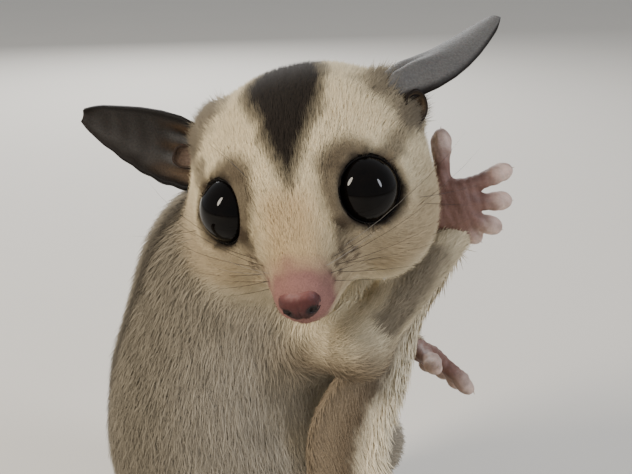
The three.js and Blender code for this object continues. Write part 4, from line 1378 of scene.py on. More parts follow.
@dataclass
class Skin:
    """One skin over the head, trunk, limbs and the tail's core."""

    voxel: float = 0.8
    fine_reach: float = 17.0

    def build(self) -> Surface:
        """Models the skin as one piece and returns it for the coat to grow on."""
        body = Blend(1, [ANATOMY.shapes[region] for region in Region])
        bm = modelled(body, ANATOMY.skin_level, self.voxel, self._around_muzzle)
        surface = surface_of(bm)
        shares = ANATOMY.shares(surface.points)
        tint = MARKINGS.colour(surface.points, surface.normals(), shares)
        bare = bare_share(HEAD.into(surface.points)) * shares[:, Region.HEAD]
        nodes = ["torso", "head", "tail_root", "tail_middle", "tail_tip"]
        nodes += [f"{limb}_{side.label}" for limb in ("arm", "leg") for side in Side]
        # Painted shade: the skin under the coat is darkened by a tenth, bare skin keeps its full colour
        piece(bm, "skin", HIDE.make(), nodes, tint * (0.9 + 0.1 * bare)[:, None])
        return surface

    def _around_muzzle(self, points: Points) -> np.ndarray:
        """Where the skin is made finer for the mouth, the muzzle and the lids."""
        return off_nose(HEAD.into(points)) < self.fine_reach


def bare_share(local: Points) -> np.ndarray:
    """How bare the skin is in the head's frame: at the end of the muzzle and the rims of the eyes."""
    bare = smooth(4.2, 3.4, off_nose(local))
    for eye in EYES:
        height, reach, _ = eye.around(local)
        rim = smooth(eye.opening_radius + 0.36, eye.opening_radius + 0.1, reach)
        bare = np.maximum(bare, rim * smooth(-3, -1, height))
    return bare


@dataclass
class Coat:
    """The coat on the skin: fine tufts on the face, bent tufts on the body and long locks on the tail."""

    skin: Surface
    face_tufts: int = 94_000
    body_tufts: int = 130_000
    long_tufts: int = 15_000
    tail_tufts: int = 16_000
    root_shade: float = 0.93
    tip_shade: float = 1.04
    seed: int = 7

    def build(self) -> None:
        """Grows every region's coat and makes its pieces."""
        shares = ANATOMY.shares(self.skin.points)
        local = HEAD.into(self.skin.points)
        head, tail = shares[:, Region.HEAD], shares[:, Region.TAIL]
        fine = 1 + 1.2 * smooth(18, 6, off_nose(local)) + 1.2 * ear_root_share(local)
        rng = np.random.default_rng(self.seed)
        face = smooth(0.25, 0.75, head) * (1 - bare_share(local)) * fine
        on_face = self._tufts(self.face_tufts, rng, face)
        body = smooth(0.8, 0.3, head) * smooth(0.7, 0.3, tail)
        on_body = self._tufts(self.body_tufts, rng, body)
        longer = self._tufts(self.long_tufts, rng, body)
        longer.lengths *= 1.15
        on_tail = self._tufts(self.tail_tufts, rng, smooth(0.3, 0.7, tail))
        finish = FUR.make()
        for tufts, form, pieces in (
            (on_face, FINE_TUFT, FACE_PIECES),
            (on_body, FINE_TUFT, BODY_PIECES),
            (longer, BENT_TUFT, GUARD_PIECES),
            (on_tail, LONG_LOCK, TAIL_PIECES),
        ):
            self._pieces(tufts, form, finish, pieces)

    def _tufts(self, count: int, rng: np.random.Generator, crowd: np.ndarray) -> Tufts:
        """Plants tufts on the skin and gives each its lie, size and colour."""
        roots, normals = self.skin.scatter(count, rng, crowd)
        shares = ANATOMY.shares(roots)
        local = HEAD.into(roots)
        lies = lie_of(roots, normals, shares, local)
        lies = laid(unit(lies + 0.2 * rng.normal(size=lies.shape)), normals)
        head = shares[:, Region.HEAD]
        short = 1 - head + head * (0.28 + 0.72 * muzzle_share(local)) * beside_eyes(local, 4.8, 9.0)
        ear_tuft = 1 + 1.5 * head * ear_root_share(local)
        chance = 1 + (0.2 + 0.2 * shares[:, Region.TAIL]) * rng.uniform(-1, 1, len(roots))
        lengths = coat_value("length", shares) * short * ear_tuft * chance * tail_length(roots, shares)
        widths = coat_value("width", shares) * (0.6 + 0.4 * short) * rng.uniform(0.75, 1.25, len(roots))
        lean = np.radians(coat_value("root_lean", shares) + rng.normal(0, 5, len(roots)))
        rest = np.radians(np.minimum(coat_value("tip_lean", shares) + rng.normal(0, 5, len(roots)), 88))
        lies, lean, rest = tail_lie(roots, normals, lengths, shares, (lies, lean, rest), rng)
        tint = MARKINGS.colour(roots + 0.35 * lengths[:, None] * lies, normals, shares)
        mottle = (0.11 * wander(roots, 5.5, 111) + 0.07 * wander(roots, 2.2, 112)) * (1 - 0.8 * head)
        shade = np.exp(rng.normal(0, 0.07, len(roots)) + mottle)[:, None]
        low, high = tint * shade * self.root_shade, tint * shade * self.tip_shade
        ends = tail_tip_lies(roots, normals, lies, lengths, shares)
        return Tufts(roots, normals, lies, lengths, widths, lean, rest, low, high, tip_lies=ends)

    def _pieces(
        self, tufts: Tufts, form: TuftForm, finish: bpy.types.Material, pieces: Sequence[CoatPiece]
    ) -> None:
        """Splits tufts among named pieces and makes each a piece of its own."""
        owner = ANATOMY.shares(tufts.roots).argmax(axis=1)
        left = np.ones(len(tufts.roots), bool)
        for one in pieces:
            inside = one.holds(tufts.roots, owner) & left
            left &= ~inside
            own = tufts.chosen(inside)
            mesh = own.mesh(one.name, form, Unwrap(ANATOMY.guides[one.guide], own.roots))
            placed(mesh, one.name, finish)


@dataclass
class Unwrap:
    """An unwrap of the skin about a guide: the angle round it across and the way along it up."""

    guide: Path
    fitted: Points

    def __post_init__(self) -> None:
        """Fits the map to the places that it is for."""
        raw = self._raw(self.fitted)
        self.low = raw.min(axis=0)
        self.size = np.maximum(raw.max(axis=0) - self.low, 1e-6)

    def _raw(self, points: Points) -> Points:
        """The angle round the guide and the way along it, unscaled."""
        share = self.guide.nearest(points)
        along = self.guide.heading(share)
        across = unit(np.cross(along, UP + 0.01 * along[:, [1, 2, 0]]))
        over = np.cross(across, along)
        offset = points - self.guide.at(share)
        run = dot(offset, along) + share * self.guide.length
        return np.column_stack([np.arctan2(dot(offset, across), dot(offset, over)), run])

    def __call__(self, points: Points) -> Points:
        """Places on the map, from 0 to 1 both ways."""
        return np.clip((self._raw(points) - self.low) / self.size, 0, 1)


@dataclass(frozen=True)
class CoatPiece:
    """A named piece of the coat: the regions that it covers and the part of them that it takes."""

    name: str
    regions: tuple[Region, ...]
    guide: Region
    slot: str
    frame: Frame = WORLD
    axis: int = 0
    above: float = -1e9
    below: float = 1e9

    def holds(self, points: Points, owner: np.ndarray) -> np.ndarray:
        """Which places the piece takes."""
        place = self.frame.into(points)[:, self.axis]
        return np.isin(owner, self.regions) & (place > self.above) & (place <= self.below)


LEAST_SHARE = 0.02
EVERYWHERE = tuple(Region)
FACE_PIECES = (
    CoatPiece("coat_crown", EVERYWHERE, Region.HEAD, "face", HEAD, 1, above=8),
    CoatPiece("coat_face_left", EVERYWHERE, Region.HEAD, "face", HEAD, 0, above=0.6),
    CoatPiece("coat_face_right", EVERYWHERE, Region.HEAD, "face", HEAD, 0),
)
BODY_PIECES = (
    *(CoatPiece(f"coat_{region.name.lower()}", (region,), region, "limb") for region in LIMBS),
    CoatPiece("coat_shoulders", EVERYWHERE, Region.TRUNK, "coat", WORLD, 2, above=60),
    CoatPiece("coat_back", EVERYWHERE, Region.TRUNK, "coat", BODY, 0, below=-12),
    CoatPiece("coat_belly", EVERYWHERE, Region.TRUNK, "coat"),
)
GUARD_PIECES = (CoatPiece("coat_guard_hairs", EVERYWHERE, Region.TRUNK, "coat"),)
TAIL_PIECES = (
    CoatPiece("coat_tail_root", EVERYWHERE, Region.TAIL, "tail", WORLD, 0, above=-62),
    CoatPiece("coat_tail_end", EVERYWHERE, Region.TAIL, "tail"),
)


def lie_of(points: Points, normals: Points, shares: Points, local: Points) -> Points:
    """The direction that the coat lies in: back from the nose, down the spine, out along limbs and tail."""
    total = np.zeros_like(points)
    for region in Region:
        own = shares[:, region] > LEAST_SHARE
        if not own.any():
            continue
        guide = ANATOMY.guides[region]
        flow = head_flow(local[own]) if region is Region.HEAD else guide.heading(guide.nearest(points[own]))
        total[own] += flow * shares[own, region, None]
    return laid(total, normals)


def head_flow(local: Points) -> Points:
    """Away from the nose, parting round the eyes, in the part's frame."""
    flow = unit(local - NOSE_TIP + np.array([0, -1.5, 1.5]))
    for eye in EYES:
        _, reach, away = eye.around(local)
        toward = np.minimum(dot(flow, away), 0)
        near = smooth(10.5, 6.0, reach)
        flow = unit(flow - away * (toward * near)[:, None] + away * (0.35 * near)[:, None])
    for ear in EARS:
        near = smooth(7.0, 2.5, off_ear_tuft(local, ear.side))
        flow = unit(flow + 1.8 * near[:, None] * ear.along_axis)
    return HEAD.aim(flow)


def ear_root_share(local: Points) -> np.ndarray:
    """How near places lie to the front of an ear's root, where the coat is longer."""
    return smooth(5.2, 1.0, np.min([off_ear_tuft(local, side) for side in Side], axis=0))


def tail_lie(
    roots: Points,
    normals: Points,
    lengths: np.ndarray,
    shares: Points,
    plain: tuple[Points, np.ndarray, np.ndarray],
    rng: np.random.Generator,
) -> tuple[Points, np.ndarray, np.ndarray]:
    """Aims the tail's locks so that they end on the outside of its coat.

    Args:
        roots: where the locks stand.
        normals: the outward directions there.
        lengths: how long the locks are.
        shares: how much each region owns of each root.
        plain: the lies and the leans at root and tip that the locks have elsewhere.
        rng: the source of chance.

    Returns:
        The lies and the leans at root and tip.
    """
    tail = ANATOMY.tail
    share = tail.path.nearest(roots)
    heading = tail.path.heading(share)
    offset = roots - tail.path.at(share)
    outward = unit(offset - dot(offset, heading)[:, None] * heading)
    reach = np.minimum(share + 0.9 * lengths / tail.path.length, 1.0)
    room = tail.coat_radius(reach) - tail.core_radius(share)
    rise = np.clip(room / lengths * rng.uniform(0.45, 1.0, len(roots)), 0.02, 0.7)
    aim = outward * rise[:, None] + heading * np.sqrt(1 - rise**2)[:, None]
    lean = np.arccos(np.clip(dot(aim, normals), -1, 1))
    own = smooth(0.4, 0.9, shares[:, Region.TAIL])
    lies = unit(mix(plain[0], laid(aim, normals), own))
    return lies, plain[1] * (1 - own) + (lean - 0.24) * own, plain[2] * (1 - own) + (lean + 0.2) * own


def tail_tip_lies(
    roots: Points, normals: Points, lies: Points, lengths: np.ndarray, shares: Points
) -> Points:
    """Where the tips of tufts point: on the tail they have turned as far as its path turns beside them."""
    path = ANATOMY.tail.path
    share = path.nearest(roots)
    bend = path.heading(np.minimum(share + lengths / path.length, 1)) - path.heading(share)
    return laid(lies + bend * shares[:, Region.TAIL, None], normals)


def tail_length(points: Points, shares: Points) -> np.ndarray:
    """How the tail's locks shorten toward its root and gather at its end."""
    own = shares[:, Region.TAIL]
    share = ANATOMY.tail.path.nearest(points)
    rooted = 0.45 + 0.55 * smooth(0.02, 0.3, share)
    left = np.clip((1.0 - share) * ANATOMY.tail.path.length / COATS[Region.TAIL].length, 0.3, 1)
    return 1 - own + own * rooted * left


@dataclass
class Eyeball:
    """One eye: the ball, and the bare dark lids about its opening."""

    eye: Eye
    segments: int = 64
    cornea: float = 0.015
    lid: str = "#0d0a08"
    profile: Sequence[tuple[float, float]] = (
        (-0.5, -0.7),
        (-0.2, 0.14),
        (-0.1, 0.26),
        (0.06, 0.27),
        (0.22, 0.12),
        (0.6, -0.5),
        (1.3, -1.5),
        (0.9, -2.6),
        (-0.1, -2.2),
    )

    def build(self) -> None:
        """Models the ball and the lids."""
        self._ball()
        self._lids()

    def _place(self) -> Matrix:
        """The frame at the eye's middle with z out along its axis."""
        return standing(HEAD.out(self.eye.centre), HEAD.aim(self.eye.axis))

    def _ball(self) -> None:
        """The eyeball with its slightly fuller cornea."""
        bm = bmesh.new()
        bmesh.ops.create_icosphere(bm, subdivisions=5, radius=self.eye.radius, matrix=Matrix.Identity(4))
        for vert in bm.verts:
            vert.co *= 1 + self.cornea * max(0.0, vert.co.z / self.eye.radius) ** 3
        bm.transform(self._place())
        piece(bm, f"eyeball_{self.eye.side.label}", CORNEA.make(), [f"eye_{self.eye.side.label}"])

    def _lids(self) -> None:
        """The lids: a rounded rim that hugs the ball and a skirt that runs out under the coat."""
        eye = self.eye
        inner = eye.opening_radius
        profile = [(inner + radius, eye.depth + height) for radius, height in self.profile]
        bm = spun(profile, self.segments, True)
        places = places_of(bm)
        angle = np.arctan2(places[:, 1], places[:, 0])
        wave = 0.05 * np.sin(3 * angle + eye.side.value) + 0.03 * np.sin(7 * angle + 1.3)
        outer = smooth(inner - 0.2, inner + 1.0, np.hypot(places[:, 0], places[:, 1]))
        places[:, 2] += wave * outer
        move_to(bm, places)
        bmesh.ops.subdivide_edges(bm, edges=bm.edges, cuts=1, use_grid_fill=True, smooth=1.0)
        put_in_order(bm)
        bm.transform(self._place())
        piece(bm, f"lids_{eye.side.label}", RIM_SKIN.make(), tint=solid(self.lid, bm.verts))


@dataclass
class Nose:
    """The bare nose pad with its two comma-shaped nostrils."""

    voxel: float = 0.2
    nostril_line: Sequence[Trio] = (
        (1.5, -16.3, -8.3),
        (1.7, -15, -8.2),
        (2.7, -14.5, -8.3),
        (4, -14.7, -8.2),
    )
    nostril_radii: Sequence[float] = (0.36, 0.42, 0.36, 0.3)
    pad: str = "#4c2826"
    top: str = "#7a4f4a"
    # The pad's underside, darker as painted shade under the nose
    low: str = "#351718"
    # The insides of the nostrils, painted dark as shade in the hollows
    hollow: str = "#120808"

    def __post_init__(self) -> None:
        """Builds the pad's shape and the lines of its nostrils."""
        lobes = [Ellipsoid(HEAD, (side.value * 1.1, -13.8, -7.6), (1.75, 1.75, 1.9)) for side in Side]
        lip = Ellipsoid(HEAD, (0, -13.6, -8.6), (1.6, 1.5, 1.6))
        self.shape = Blend(1.8, [*lobes, lip])
        lines = ([HEAD.out(side.mirrored(place)) for place in self.nostril_line] for side in Side)
        self.nostrils = [chain(0.2, line, self.nostril_radii) for line in lines]

    def _hollow(self, points: Points) -> np.ndarray:
        """How far points lie outside the nostrils."""
        return np.min([nostril.distance(points) for nostril in self.nostrils], axis=0)

    def _level(self, points: Points) -> np.ndarray:
        """Zero on the pad's skin."""
        local = HEAD.into(points)
        groove = 0.16 * bell(local[:, 0], 0.3) * smooth(-6.9, -8.2, local[:, 2])
        pebbles = 0.035 * wander(points, 0.55, 71)
        return soft_most(self.shape.distance(points) + groove + pebbles, -self._hollow(points), 0.25)

    def build(self) -> None:
        """Models the pad."""
        bm = modelled(self.shape, self._level, self.voxel)
        points = places_of(bm)
        x, y, z = HEAD.into(points).T
        # Painted shade: the pad darkens underneath toward the lip
        tint = toward(solid(self.low, points), self.pad, smooth(-9.4, -7.6, z))
        tint = toward(tint, self.top, np.maximum(smooth(-6.9, -5.7, z), smooth(-14.1, -13.1, y)))
        # Painted shade: the nostrils are darkened inside
        dark = smooth(0.55, 0.05, self._hollow(points)) * smooth(2.6, 2.1, np.abs(x))
        tint = toward(tint, self.hollow, dark)
        piece(bm, "nose_pad", NOSE_SKIN.make(), ["nose"], tint)


@dataclass
class Ear:
    """One ear: a thin cupped leaf of leather with folds at its root and a scalloped trailing edge."""

    side: Side
    root: Trio
    along: Trio
    mouth: Trio
    bend: float
    length: float = 25.5
    thickness: float = 0.7
    half_widths: Sequence[float] = (0.8, 3.4, 4.9, 5.4, 5.2, 4.6, 3.7, 2.7, 1.5)
    depths: Sequence[float] = (1.2, 3.4, 3.4, 2.8, 2.2, 1.7, 1.2, 0.8, 0.3)
    leather: str = "#140d08"
    rim: str = "#0a0706"
    pale: str = "#63503d"
    back: str = "#5c5b5a"

    FOLD_PACE = 9.5
    NOTCH_PACE = 46
    SUNK = 0.15
    SWEEP = 0.8

    def __post_init__(self) -> None:
        """Sets up the ear's own directions."""
        self.along_axis = unit(np.array(self.along, float))
        mouth = np.array(self.mouth, float)
        self.mouth_axis = unit(mouth - self.along_axis * (mouth @ self.along_axis))
        self.across_axis = np.cross(self.mouth_axis, self.along_axis) * -self.side.value

    def _leaf(self, share: np.ndarray, v: np.ndarray) -> Points:
        """The leaf's middle in the head's frame, by share of its length and place across, -1 to 1."""
        half, cup = self._section(share)
        half = half * np.sqrt(np.clip(1 - np.maximum(0, (share - 0.86) / 0.17) ** 2.4, 0.0, 1))
        notches = 0.05 * (0.5 - 0.5 * np.cos(share * self.NOTCH_PACE))
        scallop = 1 - notches * smooth(0.5, 1.0, v) * smooth(0.1, 0.25, share)
        folds = 0.45 * np.cos(v * self.FOLD_PACE) * smooth(0.55, 0.15, share) * (1 - v**2)
        ribs = 0.014 * np.cos(share * 52 + 2 * v) * (1 - v**2) * smooth(0.2, 0.4, share)
        out = -cup * (1 - v**2) + self.bend * share**2 + folds + ribs
        return (
            np.array(self.root)
            + ((share * (1 + self.SUNK) - self.SUNK) * self.length)[:, None] * self.along_axis
            + (half * scallop * v + self.SWEEP * share)[:, None] * self.across_axis
            + out[:, None] * self.mouth_axis
        )

    def _section(self, share: np.ndarray) -> tuple[np.ndarray, np.ndarray]:
        """Half the leaf's width and the depth of its cup at shares of its length."""
        steps = np.linspace(0, 1, len(self.half_widths))
        return np.interp(share, steps, self.half_widths), np.interp(share, steps, self.depths)

    def build(self) -> None:
        """Models the leaf and gives it its wall."""
        bm = bmesh.new()
        bmesh.ops.create_grid(bm, x_segments=72, y_segments=30, size=1.0)
        grid = places_of(bm)
        share = (grid[:, 0] + 1) / 2
        move_to(bm, HEAD.out(self._leaf(share, grid[:, 1])))
        bmesh.ops.recalc_face_normals(bm, faces=bm.faces)
        facing = sum((face.normal * face.calc_area() for face in bm.faces), Vector())
        if facing.dot(Vector(HEAD.aim(self.mouth_axis).tolist())) < 0:
            bmesh.ops.reverse_faces(bm, faces=bm.faces)
        thicken(bm, self.thickness)
        tint = self._tint(HEAD.into(places_of(bm)) - np.array(self.root))
        ease(bm, 0.3)
        label = self.side.label
        piece(bm, f"ear_leaf_{label}", EAR_SKIN.make(), [f"ear_{label}"], tint)

    def _tint(self, local: Points) -> Points:
        """Dark leather, paler in the root of the cup with painted light and shade on its folds, with a dark
        rim and a grey back.
        """
        share = (local @ self.along_axis / self.length + self.SUNK) / (1 + self.SUNK)
        half, cup = self._section(share)
        v = (local @ self.across_axis - self.SWEEP * share) / half
        middle = -cup * (1 - v**2) + self.bend * share**2
        behind = smooth(0.1, -0.25, local @ self.mouth_axis - middle)
        rag = wander(local, 3.2, 81)
        # The pale of the cup's root follows the folds: their crests lighter and the troughs darker, as
        # painted light and shade
        crest_light = 0.45 + 0.55 * np.cos(v * self.FOLD_PACE + 0.5 * rag)
        fold_light_and_shade = smooth(0.6, 0.15, share) * crest_light * (1 - behind)
        tint = toward(solid(self.leather, local), self.pale, fold_light_and_shade)
        grey = behind * smooth(1.1, 0.95, np.abs(v)) * smooth(0.9, 0.45, v + 0.1 * rag)
        tint = toward(tint, self.back, grey)
        return toward(tint, self.rim, smooth(0.8, 0.96, np.abs(v)) * 0.85 * (1 - behind))


EARS = (
    Ear(Side.RIGHT, (-15.4, 12.6, 0.5), (-0.865, 0.36, 0.34), (-0.14, -0.92, 0.35), -1.5),
    Ear(Side.LEFT, (14.7, 15.2, 5), (0.62, 0.78, -0.075), (0.1, -0.05, -0.97), -2.8),
)


@dataclass(frozen=True)
class EarLobe:
    """The small cup before an ear's root: a rolled dark rim about a paler hollow."""

    side: Side
    centre: Trio
    facing: Trio
    radii: Trio
    hollow: str
    rim: str = "#17110d"
    profile: Sequence[tuple[float, float]] = (
        (0, -1.0),
        (0.55, -0.88),
        (0.9, -0.45),
        (1.0, 0.0),
        (0.93, 0.16),
        (0.8, 0.06),
        (0.7, -0.25),
        (0.4, -0.5),
        (0, -0.56),
    )

    def build(self) -> None:
        """Spins the cup and stretches it into place."""
        bm = spun(self.profile, 40, False)
        places = places_of(bm)
        inner = smooth(0.85, 0.7, np.hypot(places[:, 0], places[:, 1])) * smooth(-0.75, -0.6, places[:, 2])
        tint = toward(solid(self.rim, places), self.hollow, inner)
        move_to(bm, places + 0.06 * wander(places, 1.2, 121)[:, None] * unit(places))
        place = standing(HEAD.out(self.centre), HEAD.aim(self.facing))
        bm.transform(place @ Matrix.Diagonal((*self.radii, 1)))
        piece(bm, f"ear_lobe_{self.side.label}", EAR_SKIN.make(), tint=tint)


EAR_LOBES = (
    EarLobe(Side.RIGHT, (-18.4, 12.0, 3.0), (0.1, -0.85, 0.5), (2.2, 1.9, 1.3), "#69584c", "#2e241e"),
    EarLobe(Side.LEFT, (17.2, 11.9, 4.7), (0.55, -0.78, 0.25), (1.9, 2.6, 1.6), "#5a4c3c"),
)


@dataclass(frozen=True)
class Digit:
    """A finger or toe in its paw's frame, for a paw whose thumb lies toward +y."""

    base: Trio
    turn: float
    length: float
    radius: float
    curl: float = 0.0
    claw: bool = True

    def at(self, share: float, thumb_side: float) -> Points:
        """The digit's middle at a share of its length."""
        heading = math.radians(self.turn)
        x, y, z = self.base
        forward, aside = share * self.length * math.cos(heading), share * self.length * math.sin(heading)
        return np.array([x + forward, thumb_side * (y + aside), z - self.curl * share * share])


FINGERS = (
    Digit((2.6, 3.4, -0.1), 72, 8.8, 1.7, 0.6),
    Digit((5.4, 2.4, 0), 3, 7.9, 1.6, 1.8),
    Digit((5.5, 0.2, 0), -18, 6.4, 1.6, 2.2),
    Digit((4.7, -1.7, 0), -42, 5.4, 1.55, 2),
    Digit((3.2, -2.5, -0.6), -60, 4, 1.4, 1.8),
)
TOES = (
    Digit((7, 2.6, 0.1), 62, 7, 1.2, claw=False),
    Digit((11, 1.9, 0.1), 10, 7, 1.05),
    Digit((11.4, 0.6, 0.1), 4, 7.6, 1.05),
    Digit((11.4, -1, 0.1), -8, 9.4, 1.15),
    Digit((10.4, -2.4, 0.1), -22, 8.2, 1.1),
)


@dataclass
class Paw:
    """A bare hand or foot: palm or sole, digits with pads and creases, and claws."""

    name: str
    side: Side
    frame: Frame
    palm: Sequence[tuple[Trio, Trio]]
    digits: Sequence[Digit]
    voxel: float = 0.34
    claw_length: float = 2.3
    claw_radius: float = 0.46
    skin: str = "#7d5d53"
    pad: str = "#cbb2a5"
    crease: str = "#54382f"
    claw: str = "#b5a48e"

    def __post_init__(self) -> None:
        """Notes the side of the thumb and builds the paw's shape."""
        self.thumb = -self.side.value
        palm = Blend(1.5, [Ellipsoid(self.frame, centre, radii) for centre, radii in self.palm])
        self.shape = Blend(1.1, [palm, *(self._finger(digit) for digit in self.digits)])

    def _finger(self, digit: Digit) -> Shape:
        """A digit as a chain that narrows between its joints, with a pad under its tip."""
        spots = [self.frame.out(digit.at(share, self.thumb)) for share in (-0.1, 0.2, 0.42, 0.7, 0.95)]
        radii = [digit.radius * share for share in (1.05, 0.82, 0.76, 0.9, 0.66)]
        below = digit.at(0.84, self.thumb) - np.array([0, 0, 0.3 * digit.radius])
        pad = Ellipsoid(self.frame, below, (1.0 * digit.radius, 0.95 * digit.radius, 0.75 * digit.radius))
        return Blend(0.5, [chain(0.3, spots, radii), pad])

    def _level(self, points: Points) -> np.ndarray:
        """Zero on the paw's skin, which keeps above the floor and is finely creased across the digits."""
        local = self.frame.into(points)
        creases = 0.07 * np.maximum(0, wander(local * np.array([1.0, 0.35, 0.35]), 1.3, 91)) ** 2
        folds = 0.05 * np.sin(local[:, 0] * 5.2 + wander(local, 4, 92)) * smooth(-1.2, 0.4, local[:, 2])
        return soft_most(self.shape.distance(points) + creases + folds, 0.05 - points[:, 2], 0.3)

    def build(self) -> None:
        """Models the paw and its claws."""
        bm = modelled(self.shape, self._level, self.voxel)
        local = self.frame.into(places_of(bm))
        tint = toward(solid(self.skin, local), self.pad, self._pad_share(local))
        tint = toward(tint, self.crease, 0.35 * smooth(-0.2, 0.9, wander(local, 2.4, 93)))
        piece(bm, f"{self.name}_skin", PAW_SKIN.make(), [self.name], tint)
        self._claws()

    def _pad_share(self, local: Points) -> np.ndarray:
        """How near places lie to the pale tips and pads of the digits."""
        near = []
        for digit in self.digits:
            near.append(np.linalg.norm(local - digit.at(0.9, self.thumb), axis=1) / digit.radius)
        return smooth(2.7, 0.6, np.min(near, axis=0))

    def _claws(self) -> None:
        """Small hooked claws, each bent down from a straight cone."""
        bm = bmesh.new()
        for digit in self.digits:
            if digit.claw:
                self._claw(bm, digit)
        piece(bm, f"{self.name}_claws", KERATIN.make(), tint=solid(self.claw, bm.verts))

    def _claw(self, bm: bmesh.types.BMesh, digit: Digit) -> None:
        """One claw, rooted in the top of its digit's tip."""
        length = self.claw_length
        start = digit.at(0.86, self.thumb) + np.array([0, 0, 0.45 * digit.radius])
        forward = unit(digit.at(1.0, self.thumb) - digit.at(0.8, self.thumb))
        sideways = unit(np.cross(UP, forward))
        claw = bmesh.new()
        radii = {"radius1": self.claw_radius, "radius2": 0.03}
        bmesh.ops.create_cone(claw, cap_ends=True, segments=10, depth=length, **radii)
        long_edges = [edge for edge in claw.edges if edge.calc_length() > length / 2]
        bmesh.ops.subdivide_edges(claw, edges=long_edges, cuts=5)
        for vert in claw.verts:
            run = vert.co.z / length + 0.5
            middle = start + forward * length * run + UP * (0.35 * run - 0.95 * run * run)
            place = middle + sideways * vert.co.x * 0.75 + np.cross(forward, sideways) * vert.co.y
            vert.co = self.frame.out(place).tolist()
        bmesh.ops.recalc_face_normals(claw, faces=claw.faces)
        add_to(bm, claw)


def hands_and_feet() -> tuple[list[Paw], list[Paw]]:
    """The four paws, where the CAD has them."""
    palm = (((3.2, 0.3, -0.1), (4, 4, 1.9)), ((0.2, 0, -0.1), (2.6, 2.3, 1.9)))
    sole = (((1.5, 0, 0.6), (4.2, 3, 2.7)), ((7.5, 0.1, 0.2), (6, 3.9, 2.1)))
    places = {
        "hand_right": ((22.6, -4.4, 76), np.array([0.93, -0.05, 0.36]), np.array([0.05, -0.93, 0.3])),
        "hand_left": ((22.6, 10.6, 46), BODY.aim((0.9, -0.35, -0.45)), BODY.aim((0.4, 0.3, 0.85))),
        "foot_right": ((-2, -19.5, 1.5), BODY.aim((1, -0.16, 0)), UP),
        "foot_left": ((-1, 19.5, 1.5), BODY.aim((1, 0.24, 0)), UP),
    }
    paws = []
    for name, (place, along, back) in places.items():
        side = Side.RIGHT if name.endswith("right") else Side.LEFT
        shape = (palm, FINGERS) if name.startswith("hand") else (sole, TOES)
        paws.append(Paw(name, side, paw_frame(BODY.out(place), along, back), *shape))
    return paws[:2], paws[2:]


@dataclass
class Patagium:
    """One side's gliding skin: a slack furred sheet with a long pale fringe on its free edge."""

    side: Side
    root_line: Sequence[Trio]
    free_line: Sequence[Trio]
    thickness: float = 1.0
    tufts: int = 9_000
    tuft_length: float = 2.0
    fringe_tufts: int = 3_000
    fringe_length: float = 3.4
    tuft_width: float = 0.2
    outer: str = "#8a7b66"
    band: str = "#5a4d3e"
    edge: str = "#e0d4b8"
    seed: int = 17

    def __post_init__(self) -> None:
        """Measures the two lines."""
        self.roots = Path(BODY.out(np.array(self.root_line, float)))
        self.frees = Path(BODY.out(np.array(self.free_line, float)))

    def _sheet(self, u: np.ndarray, v: np.ndarray) -> Points:
        """The sheet's middle, by way along it and share from its root line to its free edge."""
        first = np.array([self.roots.point(one) for one in u])
        last = np.array([self.frees.point(one) for one in u])
        slack = 0.5 * np.sin(u * 17) * v * (1 - u) * u * 4
        return mix(first, last, v) + slack[:, None] * unit(np.cross(last - first, UP))

    def build(self) -> None:
        """Models the sheet, its coat and its fringe."""
        bm = bmesh.new()
        bmesh.ops.create_grid(bm, x_segments=60, y_segments=10, size=1.0)
        grid = places_of(bm)
        u, v = (grid[:, 0] + 1) / 2, (grid[:, 1] + 1) / 2
        move_to(bm, self._sheet(u, v))
        bmesh.ops.recalc_face_normals(bm, faces=bm.faces)
        thicken(bm, self.thickness)
        surface = surface_of(bm)
        share = self._edge_share(surface.points)
        tint = self._tint(surface.points, share)
        label = self.side.label
        finish = FUR.make()
        # Painted shade: the sheet under its coat is darkened to four fifths of its colour
        piece(bm, f"patagium_sheet_{label}", HIDE.make(), [f"patagium_{label}"], tint * 0.8)
        rng = np.random.default_rng(self.seed + self.side.value)
        coat = self._grow(surface, rng, self.tufts, self.tuft_length, smooth(1.3, 0.9, share))
        fringe = self._grow(surface, rng, self.fringe_tufts, self.fringe_length, smooth(0.75, 0.95, share))
        for tufts, name, form in ((coat, "coat", FINE_TUFT), (fringe, "fringe", BENT_TUFT)):
            mesh = tufts.mesh(f"patagium_{name}_{label}", form, Unwrap(self.roots, tufts.roots))
            placed(mesh, f"patagium_{name}_{label}", finish)

    def _edge_share(self, points: Points) -> np.ndarray:
        """How far points lie from the root line, 0, to the free edge, 1."""
        u = self.roots.nearest(points)
        first, last = self.roots.at(u), self.frees.at(self.frees.nearest(points))
        span = last - first
        return np.clip(dot(points - first, span) / np.maximum(dot(span, span), 1e-6), 0, 1.2)

    def _tint(self, points: Points, share: np.ndarray) -> Points:
        """Brown grey, darkest before the pale edge."""
        tint = toward(solid(self.outer, points), self.band, smooth(0.2, 0.7, share))
        return toward(tint, self.edge, smooth(0.55, 0.8, share + 0.06 * wander(points, 4.0, 101)))

    def _grow(
        self, surface: Surface, rng: np.random.Generator, count: int, length: float, crowd: np.ndarray
    ) -> Tufts:
        """Plants tufts that lie out toward the free edge and a little down."""
        roots, normals = surface.scatter(count, rng, crowd)
        u = self.roots.nearest(roots)
        out = unit(self.frees.at(self.frees.nearest(roots)) - self.roots.at(u))
        lies = laid(0.5 * out + 0.9 * self.roots.heading(u) + 0.16 * rng.normal(size=roots.shape), normals)
        lengths = length * rng.uniform(0.7, 1.2, count)
        tint = self._tint(roots, self._edge_share(roots)) * np.exp(rng.normal(0, 0.08, count))[:, None]
        lean = np.radians(rng.normal(60, 5, count))
        rest = np.radians(np.minimum(rng.normal(84, 4, count), 89))
        widths = np.full(count, self.tuft_width)
        return Tufts(roots, normals, lies, lengths, widths, lean, rest, tint * 0.88, tint * 1.06)


